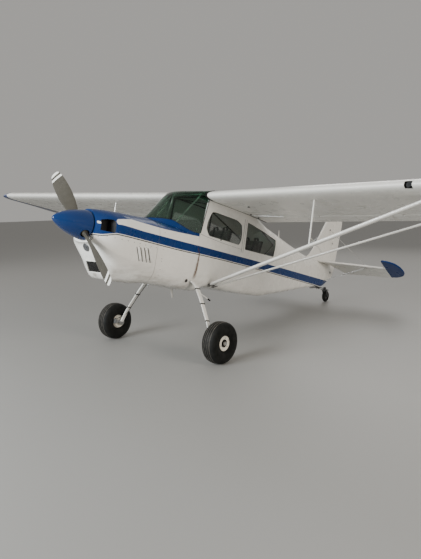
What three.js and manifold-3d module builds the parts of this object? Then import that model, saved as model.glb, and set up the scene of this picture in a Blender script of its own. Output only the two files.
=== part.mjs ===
// A two-seat high-wing light aircraft on a fixed tailwheel undercarriage, in millimetres.
// The airframe is drawn level, with its origin at the propeller hub, +X to the aircraft's left, +Y aft and +Z up.
// It is then tipped back onto its tailwheel and moved so that the floor is at Z = 0.

import * as THREE from "three";
import { mergeVertices } from "three/addons/utils/BufferGeometryUtils.js";
import Module from "manifold-3d";

const wasm = await Module();
wasm.setup();

// Driving dimensions
const seat = 0.4; // space left between two pieces that touch
const clear = 6; // space round a piece that moves
const halfTurn = Math.PI;

const mainWheel = { x: 1061, aft: 1664, up: -1182, radius: 277, width: 218, rim: 82, hubHalf: 78 };
const tailWheel = { aft: 6268, up: -170, radius: 117, width: 62, rim: 58 };

const spinner = { length: 449, back: 60, radius: 186 };
const propeller = { radius: 984, lean: 48.4, shank: 44, hubRadius: 92 };
const firewall = { aft: 950, thick: 4 };
const cowl = { skin: 7, split: -45 };
const cabin = { rear: 3750, wall: 24, chine: -352, glass: 6 };
const deckEnd = 1490; // rear edge of the deck, where the instrument panel hangs

const wing = {
  rootLeadingEdge: { x: 375, aft: 1703, up: 793 }, inner: 381, outer: 5150, tip: 5510,
  chord: 1525, incidence: 2.08, dihedral: 1.27, camber: 0.04, thickness: 0.12,
  hinge: 0.8, // where the flaps and ailerons hinge, as a share of the chord
};
const flap = { from: 480, to: 2560 };
const aileron = { from: 2590, to: 5090 };

const tail = { up: 475, thick: 34, hinge: 6120, droop: 18, halfSpan: 1600 };
const fin = { hinge: 6232, thick: 34 };

// A main wheel and the tailwheel stand on the floor together when the airframe is tipped back by this much.
const wheelbase = { aft: tailWheel.aft - mainWheel.aft, rise: tailWheel.up - mainWheel.up };
const reach = Math.hypot(wheelbase.aft, wheelbase.rise);
const tippedBack = Math.asin((mainWheel.radius - tailWheel.radius) / reach) + Math.atan2(wheelbase.rise, wheelbase.aft);

const radians = THREE.MathUtils.degToRad;
const point = (x, y, z) => new THREE.Vector3(x, y, z);
const bothSides = [["left", 1], ["right", -1]];

// Finishes
const finish = (color, roughness, metalness) => ({ color, roughness, metalness });
const white = finish(0xe9e6dd, 0.35, 0);
const blue = finish(0x123f94, 0.3, 0.1);
const grey = finish(0x74756d, 0.45, 0.4);
const black = finish(0x1b1b1c, 0.85, 0);
const dark = finish(0x2b2a29, 0.8, 0);
const steel = finish(0x9a9c9e, 0.4, 0.9);
const cream = finish(0xdcd8ca, 0.4, 0.2);
const tinted = finish(0x2f5a4c, 0.1, 0);
const smoked = finish(0x1e2422, 0.12, 0);
const cloth = finish(0x4a4743, 0.95, 0);

// Solids

function solidFrom(positions, faces) {
  const corner = (i) => point(...positions.slice(3 * i, 3 * i + 3));
  let volume = 0;
  for (let i = 0; i < faces.length; i += 3) {
    volume += corner(faces[i]).dot(corner(faces[i + 1]).cross(corner(faces[i + 2])));
  }
  const outward = volume > 0 ? faces : faces.toReversed();
  return new wasm.Manifold(new wasm.Mesh({
    numProp: 3, vertProperties: Float32Array.from(positions), triVerts: Uint32Array.from(outward),
  }));
}

function solidOf(geometry) {
  geometry.deleteAttribute("normal");
  geometry.deleteAttribute("uv");
  const merged = mergeVertices(geometry, 1e-3);
  const index = Array.from(merged.index.array);
  const faces = [];
  for (let i = 0; i < index.length; i += 3) {
    const [a, b, c] = index.slice(i, i + 3);
    if (a !== b && b !== c && c !== a) faces.push(a, b, c);
  }
  return solidFrom(Array.from(merged.attributes.position.array), faces);
}

// Joins a row of like outlines into one solid, with both ends closed.
function loft(rings) {
  const count = rings[0].length;
  const last = (rings.length - 1) * count;
  const faces = [];
  for (let ring = 0; ring < last; ring += count) {
    for (let i = 0; i < count; i++) {
      const a = ring + i;
      const b = ring + (i + 1) % count;
      faces.push(a, b, b + count, a, b + count, a + count);
    }
  }
  for (const [ring, start] of [[rings[0], 0], [rings.at(-1), last]]) {
    for (const triangle of THREE.ShapeUtils.triangulateShape(flattened(ring), [])) {
      const [a, b, c] = triangle.toSorted((i, j) => i - j).map((i) => i + start);
      if (start === 0) faces.push(c, b, a);
      else faces.push(a, b, c);
    }
  }
  return solidFrom(rings.flat().flatMap((p) => [p.x, p.y, p.z]), faces);
}

// Drops the coordinate along which an outline is thinnest.
function flattened(ring) {
  const normal = point(0, 0, 0);
  ring.forEach((p, i) => normal.add(p.clone().cross(ring[(i + 1) % ring.length])));
  const [x, y, z] = normal.toArray().map(Math.abs);
  if (x >= y && x >= z) return ring.map((p) => new THREE.Vector2(p.y, p.z));
  if (y >= z) return ring.map((p) => new THREE.Vector2(p.x, p.z));
  return ring.map((p) => new THREE.Vector2(p.x, p.y));
}

function box([x0, x1], [y0, y1], [z0, z1]) {
  const geometry = new THREE.BoxGeometry(x1 - x0, y1 - y0, z1 - z0);
  return solidOf(geometry.translate((x0 + x1) / 2, (y0 + y1) / 2, (z0 + z1) / 2));
}

// A box of the given size, with its middle at a place and its sides along three unit directions.
const squareOn = [point(1, 0, 0), point(0, 1, 0), point(0, 0, 1)];

function turnedBox(middle, directions, size) {
  const matrix = new THREE.Matrix4().makeBasis(...directions).setPosition(middle);
  return solidOf(new THREE.BoxGeometry(...size).applyMatrix4(matrix));
}

function rod(from, to, radius, sides = 12, endRadius = radius) {
  const along = to.clone().sub(from);
  const geometry = new THREE.CylinderGeometry(endRadius, radius, along.length(), sides);
  geometry.applyQuaternion(new THREE.Quaternion().setFromUnitVectors(point(0, 1, 0), along.clone().normalize()));
  const middle = from.clone().add(to).divideScalar(2);
  return solidOf(geometry.translate(...middle.toArray()));
}

// Turns a profile of [radius, distance] pairs about an axis through a place.
function turned(profile, middle, axis, sides) {
  const outline = profile.map(([radius, along]) => new THREE.Vector2(radius, along));
  const geometry = new THREE.LatheGeometry(outline, sides);
  geometry.applyQuaternion(new THREE.Quaternion().setFromUnitVectors(point(0, 1, 0), axis));
  return solidOf(geometry.translate(...middle.toArray()));
}

// A flat outline of [aft, up] pairs, pushed through from one x to another.
function sidePrism(outline, x0, x1) {
  return loft([x0, x1].map((x) => outline.map(([aft, up]) => point(x, aft, up))));
}

// An outline of [aft, up] corners, each rounded off by a radius in a few steps.
function rounded(corners, radius, steps = 3) {
  return corners.flatMap((corner, i) => {
    const here = new THREE.Vector2(...corner);
    const before = new THREE.Vector2(...corners.at(i - 1)).sub(here).normalize().multiplyScalar(radius).add(here);
    const next = corners[(i + 1) % corners.length];
    const after = new THREE.Vector2(...next).sub(here).normalize().multiplyScalar(radius).add(here);
    return new THREE.QuadraticBezierCurve(before, here, after).getPoints(steps).map((p) => [p.x, p.y]);
  });
}

const join = (...solids) => solids.reduce((all, next) => all.add(next));
const cut = (solid, ...tools) => tools.reduce((left, tool) => left.subtract(tool), solid);

// The fuselage

// One half of a section runs up from a flat belly: a rounded corner, an upright side and a rounded top.
// top and low say how square the two corners are: 1 is a straight slant, 2 is round, 5 is nearly square.
const sectionColumns = ["aft", "crown", "shoulder", "half", "chine", "belly", "flat", "top", "low"];
const readSections = (rows) => rows.map((row) => Object.fromEntries(row.map((v, i) => [sectionColumns[i], v])));

// The cowl's cheeks overhang a narrower chin, whose front leans back below the spinner.
const cowlSections = readSections([
  [76, 206, -10, 204, -118, -203, 60, 2.0, 2.0],
  [130, 218, -8, 262, -185, -214, 150, 2.0, 1.5],
  [210, 230, -3, 312, -236, -336, 152, 2.1, 1.3],
  [290, 240, 2, 342, -264, -466, 146, 2.2, 1.25],
  [356, 247, 6, 357, -280, -574, 140, 2.2, 1.3],
  [430, 253, 10, 368, -294, -608, 136, 2.3, 1.35],
  [720, 272, 25, 385, -330, -606, 150, 2.3, 1.7],
  [950, 290, 45, 389, -340, -574, 200, 2.4, 2.0],
]);
const bootSections = readSections([
  [950, 290, 45, 389, -340, -574, 200, 2.4, 2.0],
  [1400, 290, 90, 392, -345, -568, 210, 2.6, 2.2],
  [1712, 262, 120, 393, -345, -576, 220, 3.0, 2.2],
]);
const cabinSections = readSections([
  [1712, 860, 560, 393, -345, -576, 220, 6.0, 2.2],
  [1870, 899, 560, 395, -350, -560, 220, 6.0, 2.2],
  [2010, 925, 560, 397, -372, -476, 290, 6.0, 2.2],
  [2300, 938, 560, 398, -372, -476, 300, 6.0, 2.2],
  [2750, 905, 540, 398, -372, -476, 300, 5.0, 2.2],
  [3220, 775, 440, 376, -354, -466, 284, 3.6, 2.2],
  [3430, 738, 380, 360, -342, -456, 268, 3.0, 2.2],
  [3750, 704, 320, 334, -306, -394, 244, 2.5, 2.2],
]);
const rearSections = readSections([
  [3750, 704, 320, 334, -306, -394, 244, 2.5, 2.2],
  [4400, 600, 260, 266, -190, -266, 190, 2.4, 2.2],
  [5200, 500, 210, 172, -46, -106, 120, 2.4, 2.2],
  [5600, 492, 220, 124, 14, -40, 84, 2.6, 2.2],
  [5900, 492, 260, 88, 66, 0, 56, 3.0, 2.2],
  [6204, 492, 320, 42, 216, 140, 22, 4.0, 2.2],
]);

// Points round one section, shrunk by an inset, or grown where that is negative.
function sectionRing(row, inset, steps) {
  const half = row.half - inset;
  const halfRing = [[0, row.belly + inset]];
  for (let i = 0; i <= steps; i++) {
    const turn = (halfTurn / 2) * (1 - i / steps);
    const drop = row.belly + inset - row.chine;
    const out = row.flat + (half - row.flat) * Math.cos(turn) ** (2 / row.low);
    halfRing.push([out, row.chine + drop * Math.sin(turn) ** (2 / row.low)]);
  }
  for (let i = 0; i <= steps; i++) {
    const turn = (halfTurn / 2) * (i / steps);
    const rise = row.crown - inset - row.shoulder;
    halfRing.push([half * Math.cos(turn) ** (2 / row.top), row.shoulder + rise * Math.sin(turn) ** (2 / row.top)]);
  }
  const other = halfRing.slice(1, -1).toReversed().map(([x, up]) => [-x, up]);
  return [...halfRing, ...other].map(([x, up]) => point(x, row.aft, up));
}

// The ends may be pushed out or pulled in along the body.
function body(rows, inset, frontShift = 0, rearShift = 0, steps = 4) {
  const rings = rows.map((row) => sectionRing(row, inset, steps));
  rings[0].forEach((p) => { p.y += frontShift; });
  rings.at(-1).forEach((p) => { p.y += rearShift; });
  return loft(rings);
}

const far = 7000;
const above = (up) => box([-far, far], [-far, far], [up, far]);
const below = (up) => box([-far, far], [-far, far], [-far, up]);

const mouthRadius = 106;
const sideInlet = { front: 118, back: 282, low: -44, high: 110, inner: 216 };
const chinIntake = { half: 118, low: -532, high: -410, depth: 440 };

function cowlShell() {
  const outer = body(cowlSections, 0, 0, -seat);
  const inner = body(cowlSections.slice(1), cowl.skin, 0, 10);
  const mouth = rod(point(0, 0, 0), point(0, 160, 0), mouthRadius, 24);
  const inlets = bothSides.map(([, side]) => {
    const x = [side * sideInlet.inner, side * 420].toSorted((a, b) => a - b);
    return box(x, [sideInlet.front, sideInlet.back], [sideInlet.low, sideInlet.high]);
  });
  const intake = box([-chinIntake.half, chinIntake.half], [0, chinIntake.depth], [chinIntake.low, chinIntake.high]);
  const outlet = box([-190, 190], [860, 1000], [-640, -520]);
  return cut(outer, inner, mouth, ...inlets, intake, outlet);
}

function upperCowl(shell) {
  return shell.intersect(above(cowl.split + seat / 2));
}

function lowerCowl(shell) {
  return shell.intersect(below(cowl.split - seat / 2));
}

function firewallPlate() {
  const row = { ...cowlSections.at(-1) };
  const rings = [0, firewall.thick].map((step) => sectionRing({ ...row, aft: firewall.aft + step }, 3, 4));
  return loft(rings);
}

const engine = { half: 318, front: 310, back: 800, low: -150, high: 118 };

// The engine stands on four legs of its mount, and its shaft reaches the propeller hub.
function engineBlock() {
  const cylinders = box([-engine.half, engine.half], [engine.front + 60, engine.back - 90], [-60, 60]);
  const crankcase = box([-130, 130], [engine.front, engine.back], [engine.low, engine.high]);
  const sump = box([-105, 105], [engine.front + 120, engine.back - 40], [-300, engine.low + 5]);
  const shaft = rod(point(0, propeller.shank + 20 + seat, 0), point(0, engine.front + 10, 0), 34, 16);
  const legs = [[1, 1], [1, -1], [-1, 1], [-1, -1]].map(([x, z]) => {
    const foot = point(250 * x, firewall.aft - seat, z > 0 ? 120 : -270);
    return rod(point(100 * x, engine.back - 30, z > 0 ? 90 : -120), foot, 13, 8);
  });
  return join(crankcase, cylinders, sump, shaft, ...legs.map((leg) => cut(leg, box([-far, far],
    [firewall.aft - seat, far], [-far, far]))));
}

function bootCowl(leg) {
  const shell = cut(body(bootSections, 0, firewall.thick + seat, -seat), body(bootSections, 14, -20, 20));
  const knees = box([-352, 352], [deckEnd, 1800], [0, 400]);
  return cut(shell, knees, ...leg);
}

const roofLine = [[1600, 702], [3220, 690], [3800, 596], [3800, 1200], [1600, 1200]];
const skylight = { rear: 2660 };

// Window openings, as corners of [aft, up]
const frontWindow = [
  [1892, 247], [1816, 340], [1824, 440], [1886, 586], [1935, 603], [2470, 603], [2600, 562], [2640, 440], [2643, 330], [2606, 246],
];
const doorWindow = [[1902, 247], [1870, 300], [1874, 480], [1900, 590], [1935, 603], ...frontWindow.slice(5)];
const rearWindow = [[2766, 204], [2748, 628], [3684, 530], [3650, 236]];
const door = {
  corners: [[1808, -330], [1812, 662], [2690, 646], [2690, 0], [2060, -330]],
  hinge: { x: 407, aft: 1797, low: -240, high: 520 },
};

function shrunk(corners, by) {
  const middle = corners.reduce(([y, z], [aft, up]) => [y + aft / corners.length, z + up / corners.length], [0, 0]);
  return corners.map(([aft, up]) => [aft - Math.sign(aft - middle[0]) * by, up - Math.sign(up - middle[1]) * by]);
}

function cabinShell() {
  return cut(body(cabinSections, 0, seat, -seat), body(cabinSections, cabin.wall, -20, 20));
}

// The door post leans back from the sill to the wing.
const postLine = [[1600, 250], [1712, 250], [1800, 800], [1806, 1200], [1600, 1200]];

function cabinSide(shell, side) {
  const half = box([side > 0 ? seat : -far, side > 0 ? far : -seat], [0, far], [cabin.chine + seat, far]);
  const panel = cut(shell.intersect(half), sidePrism(roofLine, -far, far), sidePrism(postLine, -far, far));
  const openings = [sidePrism(rounded(rearWindow, 24), side * 200, side * 500)];
  if (side > 0) openings.push(sidePrism(rounded(frontWindow, 14, 2), 200, 500));
  else openings.push(sidePrism(shrunk(door.corners, -clear), -200, -500));
  return cut(panel, ...openings);
}

function cabinFloor(shell, leg) {
  return cut(shell.intersect(below(cabin.chine)), ...leg);
}

function roofPiece(shell, from, to) {
  const top = shell.intersect(sidePrism(roofLine.map(([aft, up]) => [aft, up + (up < 1000 ? seat : 0)]), -far, far));
  return top.intersect(box([-far, far], [from, to], [-far, far]));
}

// Glass sits in its opening as a thin pane of the body's own curve.
function pane(rows, corners, radius, steps, side) {
  const depth = 8;
  const sheet = cut(body(rows, depth, -5, 5), body(rows, depth + cabin.glass, -20, 20));
  return sheet.intersect(sidePrism(rounded(shrunk(corners, seat), radius, steps), side * 200, side * 500));
}

const screen = { top: 1800 };

// Rows run from the deck up to the roof, and columns run round from the left door post to the right one.
function windscreen() {
  const columns = 12;
  const rows = [
    // half width, aft at the post, aft in front, height at the post, height in front, how pointed it is in front
    [388, 1706, 985, 150, 262, 1.5],
    [388, 1708, 1010, 243, 294, 1.5],
    [380, 1744, 1200, 480, 518, 1.45],
    [370, 1776, 1388, 690, 726, 1.3],
    [364, 1790, 1490, 790, 794, 1.2],
    [360, screen.top, 1652, 852, 846, 1],
    [356, screen.top, screen.top, 876, 880, 1],
  ];
  const outside = rows.map(([half, postAft, frontAft, postUp, frontUp, pointed]) => {
    const line = [];
    for (let i = 0; i <= columns; i++) {
      const turn = halfTurn * (i / columns - 0.5);
      const front = Math.cos(turn) ** pointed;
      line.push(point(-half * Math.sin(turn), postAft + (frontAft - postAft) * front, postUp + (frontUp - postUp) * front));
    }
    return line;
  });
  const middle = point(0, 1700, 300);
  const sheet = outside.map((line) => line.map((p) => {
    const inward = middle.clone().sub(p).normalize().multiplyScalar(cabin.glass * 1.25);
    return p.clone().add(inward);
  }));
  return outside[0].map((_, i) => [...outside.map((line) => line[i]), ...sheet.map((line) => line[i]).toReversed()]);
}

function windscreenPane() {
  const deck = body(bootSections, -seat, -5, 5);
  const behind = sidePrism([[1712 - seat, -400], [1712 - seat, 250], [1800 - seat, 800], [1800 - seat, 1200],
    [2500, 1200], [2500, -400]], -far, far);
  return cut(loft(windscreen()), deck, behind);
}

function instrumentPanel() {
  const plate = box([-340, 340], [deckEnd - 24, deckEnd - 6], [-20, 300]);
  const under = body(bootSections, 14 + seat, -20, 20);
  return plate.intersect(under);
}

// What stands in the cabin is trimmed to the room between its walls.
const insideCabin = (solid) => solid.intersect(body(cabinSections, cabin.wall + 2 * seat, 0, -seat));

// The welded tube frame inside the cabin: posts, cross tubes, roof diagonals and the braces behind the windscreen
function cabinFrame() {
  const post = { x: 358, front: 1836, rear: 2716, low: -420, high: 858 };
  const tube = 11;
  const tubes = [];
  for (const [, side] of bothSides) {
    const x = post.x * side;
    tubes.push(rod(point(x, post.front - 40, post.low), point(x - 8 * side, post.front, 800), tube, 6));
    tubes.push(rod(point(x, post.rear, post.low), point(x - 8 * side, post.rear, 800), tube, 6));
    tubes.push(rod(point(x - 8 * side, post.front, 800), point(x - 8 * side, post.rear, 800), tube, 6));
    tubes.push(rod(point(x - 8 * side, post.rear, 790), point((x - 8 * side) * -1, post.front, 790), tube * 0.8, 6));
    tubes.push(rod(point(x, post.rear, post.low + 20), point(300 * side, 3640, -250), tube, 6));
    tubes.push(rod(point(x - 8 * side, post.rear, 790), point(296 * side, 3640, 440), tube, 6));
    tubes.push(rod(point(x, post.rear, post.low + 40), point(300 * side, 3640, 430), tube * 0.8, 6));
  }
  tubes.push(rod(point(-post.x, post.front, 800), point(post.x, post.front, 800), tube, 6));
  tubes.push(rod(point(-post.x, post.rear, 800), point(post.x, post.rear, 800), tube, 6));
  tubes.push(rod(point(-post.x, post.rear, post.low + 30), point(post.x, post.rear, post.low + 30), tube, 6));
  return join(insideCabin(join(...tubes)), screenBraces(post, tube));
}

// A header under the top of the windscreen, and the two braces that run from it down to the deck
function screenBraces(post, tube) {
  const corner = (side) => point(300 * side, 1705, 806);
  const tubes = [rod(corner(1), corner(-1), tube * 0.8, 6)];
  for (const [, side] of bothSides) {
    tubes.push(rod(corner(side), point((post.x - 34) * side, post.front, 798), tube * 0.8, 6));
    tubes.push(rod(corner(side), point(212 * side, 1305, 240), tube, 8));
  }
  return cut(join(...tubes), body(bootSections, -seat, -5, 5));
}

function chair(front, floorUp) {
  const half = 225;
  const pan = -150;
  const outline = [
    [front, pan], [front, pan + 70], [front + 430, pan + 50], [front + 560, pan + 640], [front + 630, pan + 620],
    [front + 500, pan - 10],
  ];
  const cushion = sidePrism(outline, -half, half);
  const legs = [[-1, 40], [1, 40], [-1, 420], [1, 420]].map(([side, back]) => {
    return rod(point(side * 180, front + back, floorUp), point(side * 180, front + back, pan + 20), 12, 6);
  });
  return insideCabin(join(cushion, ...legs));
}

function stick(aft, floorUp) {
  const foot = rod(point(0, aft, floorUp), point(0, aft, floorUp + 60), 34, 12);
  const stem = rod(point(0, aft, floorUp + 20), point(0, aft + 60, -20), 11, 8);
  const grip = rod(point(0, aft + 54, -60), point(0, aft + 78, 70), 19, 8);
  return insideCabin(join(foot, stem, grip));
}

// The propeller

function spinnerShell() {
  const shape = [[0, 0], [0.012, 17], [0.045, 34], [0.1, 53], [0.17, 72], [0.33, 108], [0.55, 143], [0.8, 171], [1, 186]];
  const tip = spinner.back - spinner.length;
  const outside = shape.map(([share, radius]) => [radius, tip + share * spinner.length]);
  const inside = shape.slice(5).map(([share, radius]) => [radius - 5, tip + share * spinner.length]).toReversed();
  const profile = [...outside, ...inside, [0, tip + 60]];
  const shell = turned(profile, point(0, 0, 0), point(0, 1, 0), 24);
  const slots = [1, -1].map((way) => rod(point(0, 0, 0), bladePoint(way * 260, 0, 0), propeller.shank + 12, 12));
  return cut(shell, ...slots);
}

// A place along the blades: out from the hub, across the blade and ahead of the disc.
function bladePoint(out, across, ahead) {
  const lean = radians(-propeller.lean);
  return point(out * Math.sin(lean) + across * Math.cos(lean), -ahead, out * Math.cos(lean) - across * Math.sin(lean));
}

function propellerHub() {
  const plate = turned([[0, 46], [178, 46], [178, 50], [0, 50]], point(0, 0, 0), point(0, 1, 0), 24);
  const drum = rod(point(0, -62, 0), point(0, propeller.shank + 20, 0), 66, 20);
  const arms = rod(bladePoint(-propeller.hubRadius, 0, 0), bladePoint(propeller.hubRadius, 0, 0), 52, 16);
  return join(drum, plate, arms);
}

const bladeSections = [
  // out from the hub, chord, thickness, pitch
  [propeller.hubRadius + seat, 84, 78, 58],
  [150, 86, 74, 55],
  [235, 122, 46, 48],
  [360, 160, 30, 38],
  [480, 186, 24, 32],
  [600, 196, 18, 27],
  [760, 188, 13, 22],
  [880, 162, 9.5, 18.5],
  [945, 130, 7.5, 17],
  [974, 92, 6, 16.5],
  [propeller.radius, 54, 5, 16],
];

function blade(way) {
  const rings = bladeSections.map(([out, chord, thick, pitch]) => {
    const twist = radians(pitch);
    const ring = [];
    const sides = 12;
    for (let i = 0; i < sides; i++) {
      const turn = (2 * halfTurn * i) / sides;
      const across = (chord / 2) * Math.cos(turn);
      const deep = (thick / 2) * Math.sin(turn);
      ring.push(bladePoint(way * out, way * (across * Math.cos(twist) - deep * Math.sin(twist)),
        -(across * Math.sin(twist) + deep * Math.cos(twist))));
    }
    return ring;
  });
  return loft(rings);
}

// Wings

// Heights above and below the chord line at a share of the chord, for the wing's own section
function wingHeights(share) {
  const p = 0.4;
  const half = 5 * wing.thickness * (0.2969 * Math.sqrt(share) - 0.126 * share - 0.3516 * share ** 2
    + 0.2843 * share ** 3 - 0.1015 * share ** 4);
  const bend = share < p ? (wing.camber / p ** 2) * (2 * p * share - share ** 2)
    : (wing.camber / (1 - p) ** 2) * (1 - 2 * p + 2 * p * share - share ** 2);
  return { upper: (bend + half) * wing.chord, lower: (bend - half) * wing.chord, middle: bend * wing.chord, half: half * wing.chord };
}

function wingPoint(side, x, share, height, chord = wing.chord, leadingAft = wing.rootLeadingEdge.aft) {
  const tilt = radians(wing.incidence);
  const rise = (x - wing.rootLeadingEdge.x) * Math.tan(radians(wing.dihedral));
  return point(
    side * x,
    leadingAft + share * chord * Math.cos(tilt) + height * Math.sin(tilt),
    wing.rootLeadingEdge.up + rise - share * chord * Math.sin(tilt) + height * Math.cos(tilt)
      - (leadingAft - wing.rootLeadingEdge.aft) * Math.sin(tilt),
  );
}

function wingRing(side, x, scale = 1, leadingShift = 0, thin = 1) {
  const shares = [1, 0.9, 0.75, 0.55, 0.38, 0.24, 0.13, 0.055, 0.014];
  const place = (share, height) => wingPoint(side, x, share, height * scale * thin, wing.chord * scale,
    wing.rootLeadingEdge.aft + leadingShift);
  const upper = shares.map((share) => place(share, wingHeights(share).upper));
  const lower = shares.toReversed().map((share) => place(share, wingHeights(share).lower));
  return [...upper, place(0, 0), ...lower];
}

const noseRadius = wingHeights(wing.hinge).half - 1.5;
const wingHinge = (side, x) => wingPoint(side, x, wing.hinge, wingHeights(wing.hinge).middle);

function surfaceRing(side, x) {
  const middle = wingHeights(wing.hinge).middle;
  const nose = [];
  for (let i = 0; i <= 6; i++) {
    const turn = halfTurn * (0.5 + i / 6);
    nose.push(wingPoint(side, x, wing.hinge + (noseRadius * Math.cos(turn)) / wing.chord, middle + noseRadius * Math.sin(turn)));
  }
  const shares = [0.87, 0.94, 1];
  const lower = shares.map((share) => wingPoint(side, x, share, wingHeights(share).lower));
  const upper = shares.toReversed().map((share) => wingPoint(side, x, share, wingHeights(share).upper));
  return [...nose, ...lower, ...upper];
}

// Hinges along an axis: an arm with its pin for the fixed piece, and the slot for it in the moving one
function hinges(from, to, places, forward, armReach, nose) {
  const along = to.clone().sub(from).normalize();
  const across = along.clone().cross(forward).normalize();
  const directions = [along, forward, across];
  const arms = [];
  const slots = [];
  for (const share of places) {
    const middle = from.clone().lerp(to, share);
    const end = (distance) => middle.clone().addScaledVector(along, distance);
    arms.push(turnedBox(middle.clone().addScaledVector(forward, armReach / 2 - 6), directions, [10, armReach + 12, 12]));
    arms.push(rod(end(-15), end(15), 4, 8));
    slots.push(turnedBox(middle.clone().addScaledVector(forward, nose / 2), directions, [22, nose + 32, 3 * nose + 40]));
    slots.push(rod(end(-16), end(16), 4.6, 8));
  }
  return { arms: join(...arms), slots: join(...slots) };
}

function bay(side, from, to) {
  const start = wing.hinge - (noseRadius + clear + 1) / wing.chord;
  return loft([from - clear, to + clear].map((x) => [
    wingPoint(side, x, start, -150), wingPoint(side, x, 1.1, -150), wingPoint(side, x, 1.1, 220), wingPoint(side, x, start, 220),
  ]));
}

const forward = point(0, -1, 0);
const wingArmReach = noseRadius + clear + 30;
const surfaceHinges = (side, { from, to }, places) => (
  hinges(wingHinge(side, from), wingHinge(side, to), places, forward, wingArmReach, noseRadius)
);
const flapHinges = (side) => surfaceHinges(side, flap, [0.06, 0.5, 0.94]);
const aileronHinges = (side) => surfaceHinges(side, aileron, [0.06, 0.5, 0.94]);

function wingPanel(side) {
  const plain = loft([wingRing(side, wing.inner), wingRing(side, wing.outer)]);
  const bays = [bay(side, flap.from, flap.to), bay(side, aileron.from, aileron.to)];
  const fuselage = body(cabinSections, -seat, -10, 10);
  const screenRoom = box([-384, 384], [1600, 1840], [600, 1000]);
  const panel = cut(plain, ...bays, fuselage, screenRoom);
  return join(panel, flapHinges(side).arms, aileronHinges(side).arms);
}

function surface(side, { from, to }, slots) {
  return cut(loft([surfaceRing(side, from), surfaceRing(side, to)]), slots);
}

function wingTip(side) {
  const sections = [
    // x, size, how far the leading edge moves aft, thickness
    [wing.outer + seat, 1, 0, 1],
    [5290, 0.985, 12, 0.92],
    [5400, 0.93, 52, 0.78],
    [5475, 0.83, 128, 0.55],
    [wing.tip, 0.66, 262, 0.2],
  ];
  return loft(sections.map(([x, scale, shift, thin]) => wingRing(side, x, scale, shift, thin)));
}

// Struts

const strut = {
  front: { foot: [425, 2060, -430], outer: 3470, share: 0.2, deep: 112, thick: 42 },
  rear: { foot: [425, 2165, -436], outer: 3600, share: 0.66, deep: 70, thick: 26 },
};
const jury = { x: 1940, radius: 11 };

function strutEnds(side, which) {
  const { foot: [x, aft, up], outer, share } = strut[which];
  const top = wingPoint(side, outer, share, wingHeights(share).lower);
  return { foot: point(side * x, aft, up), top };
}

// A streamlined tube with its long way fore and aft, which stops just under the wing and meets a fitting below
function liftStrut(side, which) {
  const { foot, top } = strutEnds(side, which);
  const { deep, thick } = strut[which];
  const along = top.clone().sub(foot).normalize();
  const across = along.clone().cross(point(0, 1, 0)).normalize();
  const aft = across.clone().cross(along).normalize();
  const shape = [[-0.5, 0], [-0.42, 0.3], [-0.22, 0.48], [0.05, 0.45], [0.32, 0.24], [0.5, 0], [0.32, -0.24],
    [0.05, -0.45], [-0.22, -0.48], [-0.42, -0.3]];
  const ring = (middle, scale) => shape.map(([f, h]) => middle.clone().addScaledVector(aft, f * deep * scale)
    .addScaledVector(across, h * thick * scale));
  const near = foot.clone().addScaledVector(along, 60);
  const end = top.clone().addScaledVector(along, 20);
  const tube = loft([ring(foot, 0.5), ring(near, 1), ring(end, 1)]);
  const lug = turnedBox(foot.clone(), [along, aft, across], [90, 36, 14]);
  const wingSkin = loft([wingRing(side, wing.inner), wingRing(side, wing.outer)].map((points) => (
    points.map((p) => p.clone().add(point(0, 0, -seat))))));
  const fuselage = body(cabinSections, -seat, -10, 10);
  return cut(join(tube, lug), wingSkin, fuselage);
}

function juryStrut(side, struts) {
  const [low, lowRear] = ["front", "rear"].map((which) => {
    const { foot, top } = strutEnds(side, which);
    const inner = strut[which].foot[0];
    return foot.clone().lerp(top, (jury.x - inner) / (strut[which].outer - inner));
  });
  const high = wingPoint(side, jury.x, strut.front.share, wingHeights(strut.front.share).lower + 12);
  const wingSkin = loft([wingRing(side, wing.inner), wingRing(side, wing.outer)].map((points) => (
    points.map((p) => p.clone().add(point(0, 0, -seat))))));
  const tubes = join(rod(low, high, jury.radius, 8), rod(low.clone().lerp(high, 0.2), lowRear, jury.radius * 0.8, 8));
  return cut(tubes, wingSkin, ...struts.map((tube) => grown(tube)));
}

// The same solid made a little thicker all round by shifting it four ways
function grown(solid) {
  const ways = [[0, seat], [0, -seat], [seat, 0], [-seat, 0]];
  return join(...ways.map(([y, z]) => solid.translate([0, y, z])));
}

// Landing gear

const leg = {
  // x, up, fore-and-aft width, thickness: a flat leaf that narrows downwards
  stations: [
    [150, -398, 92, 26],
    [330, -418, 90, 25],
    [458, -470, 86, 24],
    [588, -626, 78, 22],
    [716, -820, 68, 20],
    [856, -1060, 58, 18],
    [900, -1172, 56, 18],
  ],
  topAft: 1692,
};

function legRings(side, grow) {
  const rows = leg.stations.map(([x, up, wide, thick]) => ({ x, up, wide: wide + 2 * grow, thick: thick + 2 * grow }));
  return rows.map((row, i) => {
    const before = rows[Math.max(i - 1, 0)];
    const after = rows[Math.min(i + 1, rows.length - 1)];
    const slope = new THREE.Vector2(after.x - before.x, after.up - before.up).normalize();
    const share = THREE.MathUtils.clamp((row.x - 330) / (900 - 330), 0, 1);
    const aft = leg.topAft + (mainWheel.aft - leg.topAft) * share;
    const corner = (across, over) => point(side * (row.x - slope.y * over), aft + across, row.up + slope.x * over);
    const [w, t] = [row.wide / 2, row.thick / 2];
    return [corner(-w, 0), corner(-w * 0.8, t), corner(w * 0.8, t), corner(w, 0), corner(w * 0.8, -t), corner(-w * 0.8, -t)];
  });
}

const gearLeg = (side) => loft(legRings(side, 0));
const legRoom = (side) => loft(legRings(side, seat));

const axleMiddle = (side, x) => point(side * x, mainWheel.aft, mainWheel.up);

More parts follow.
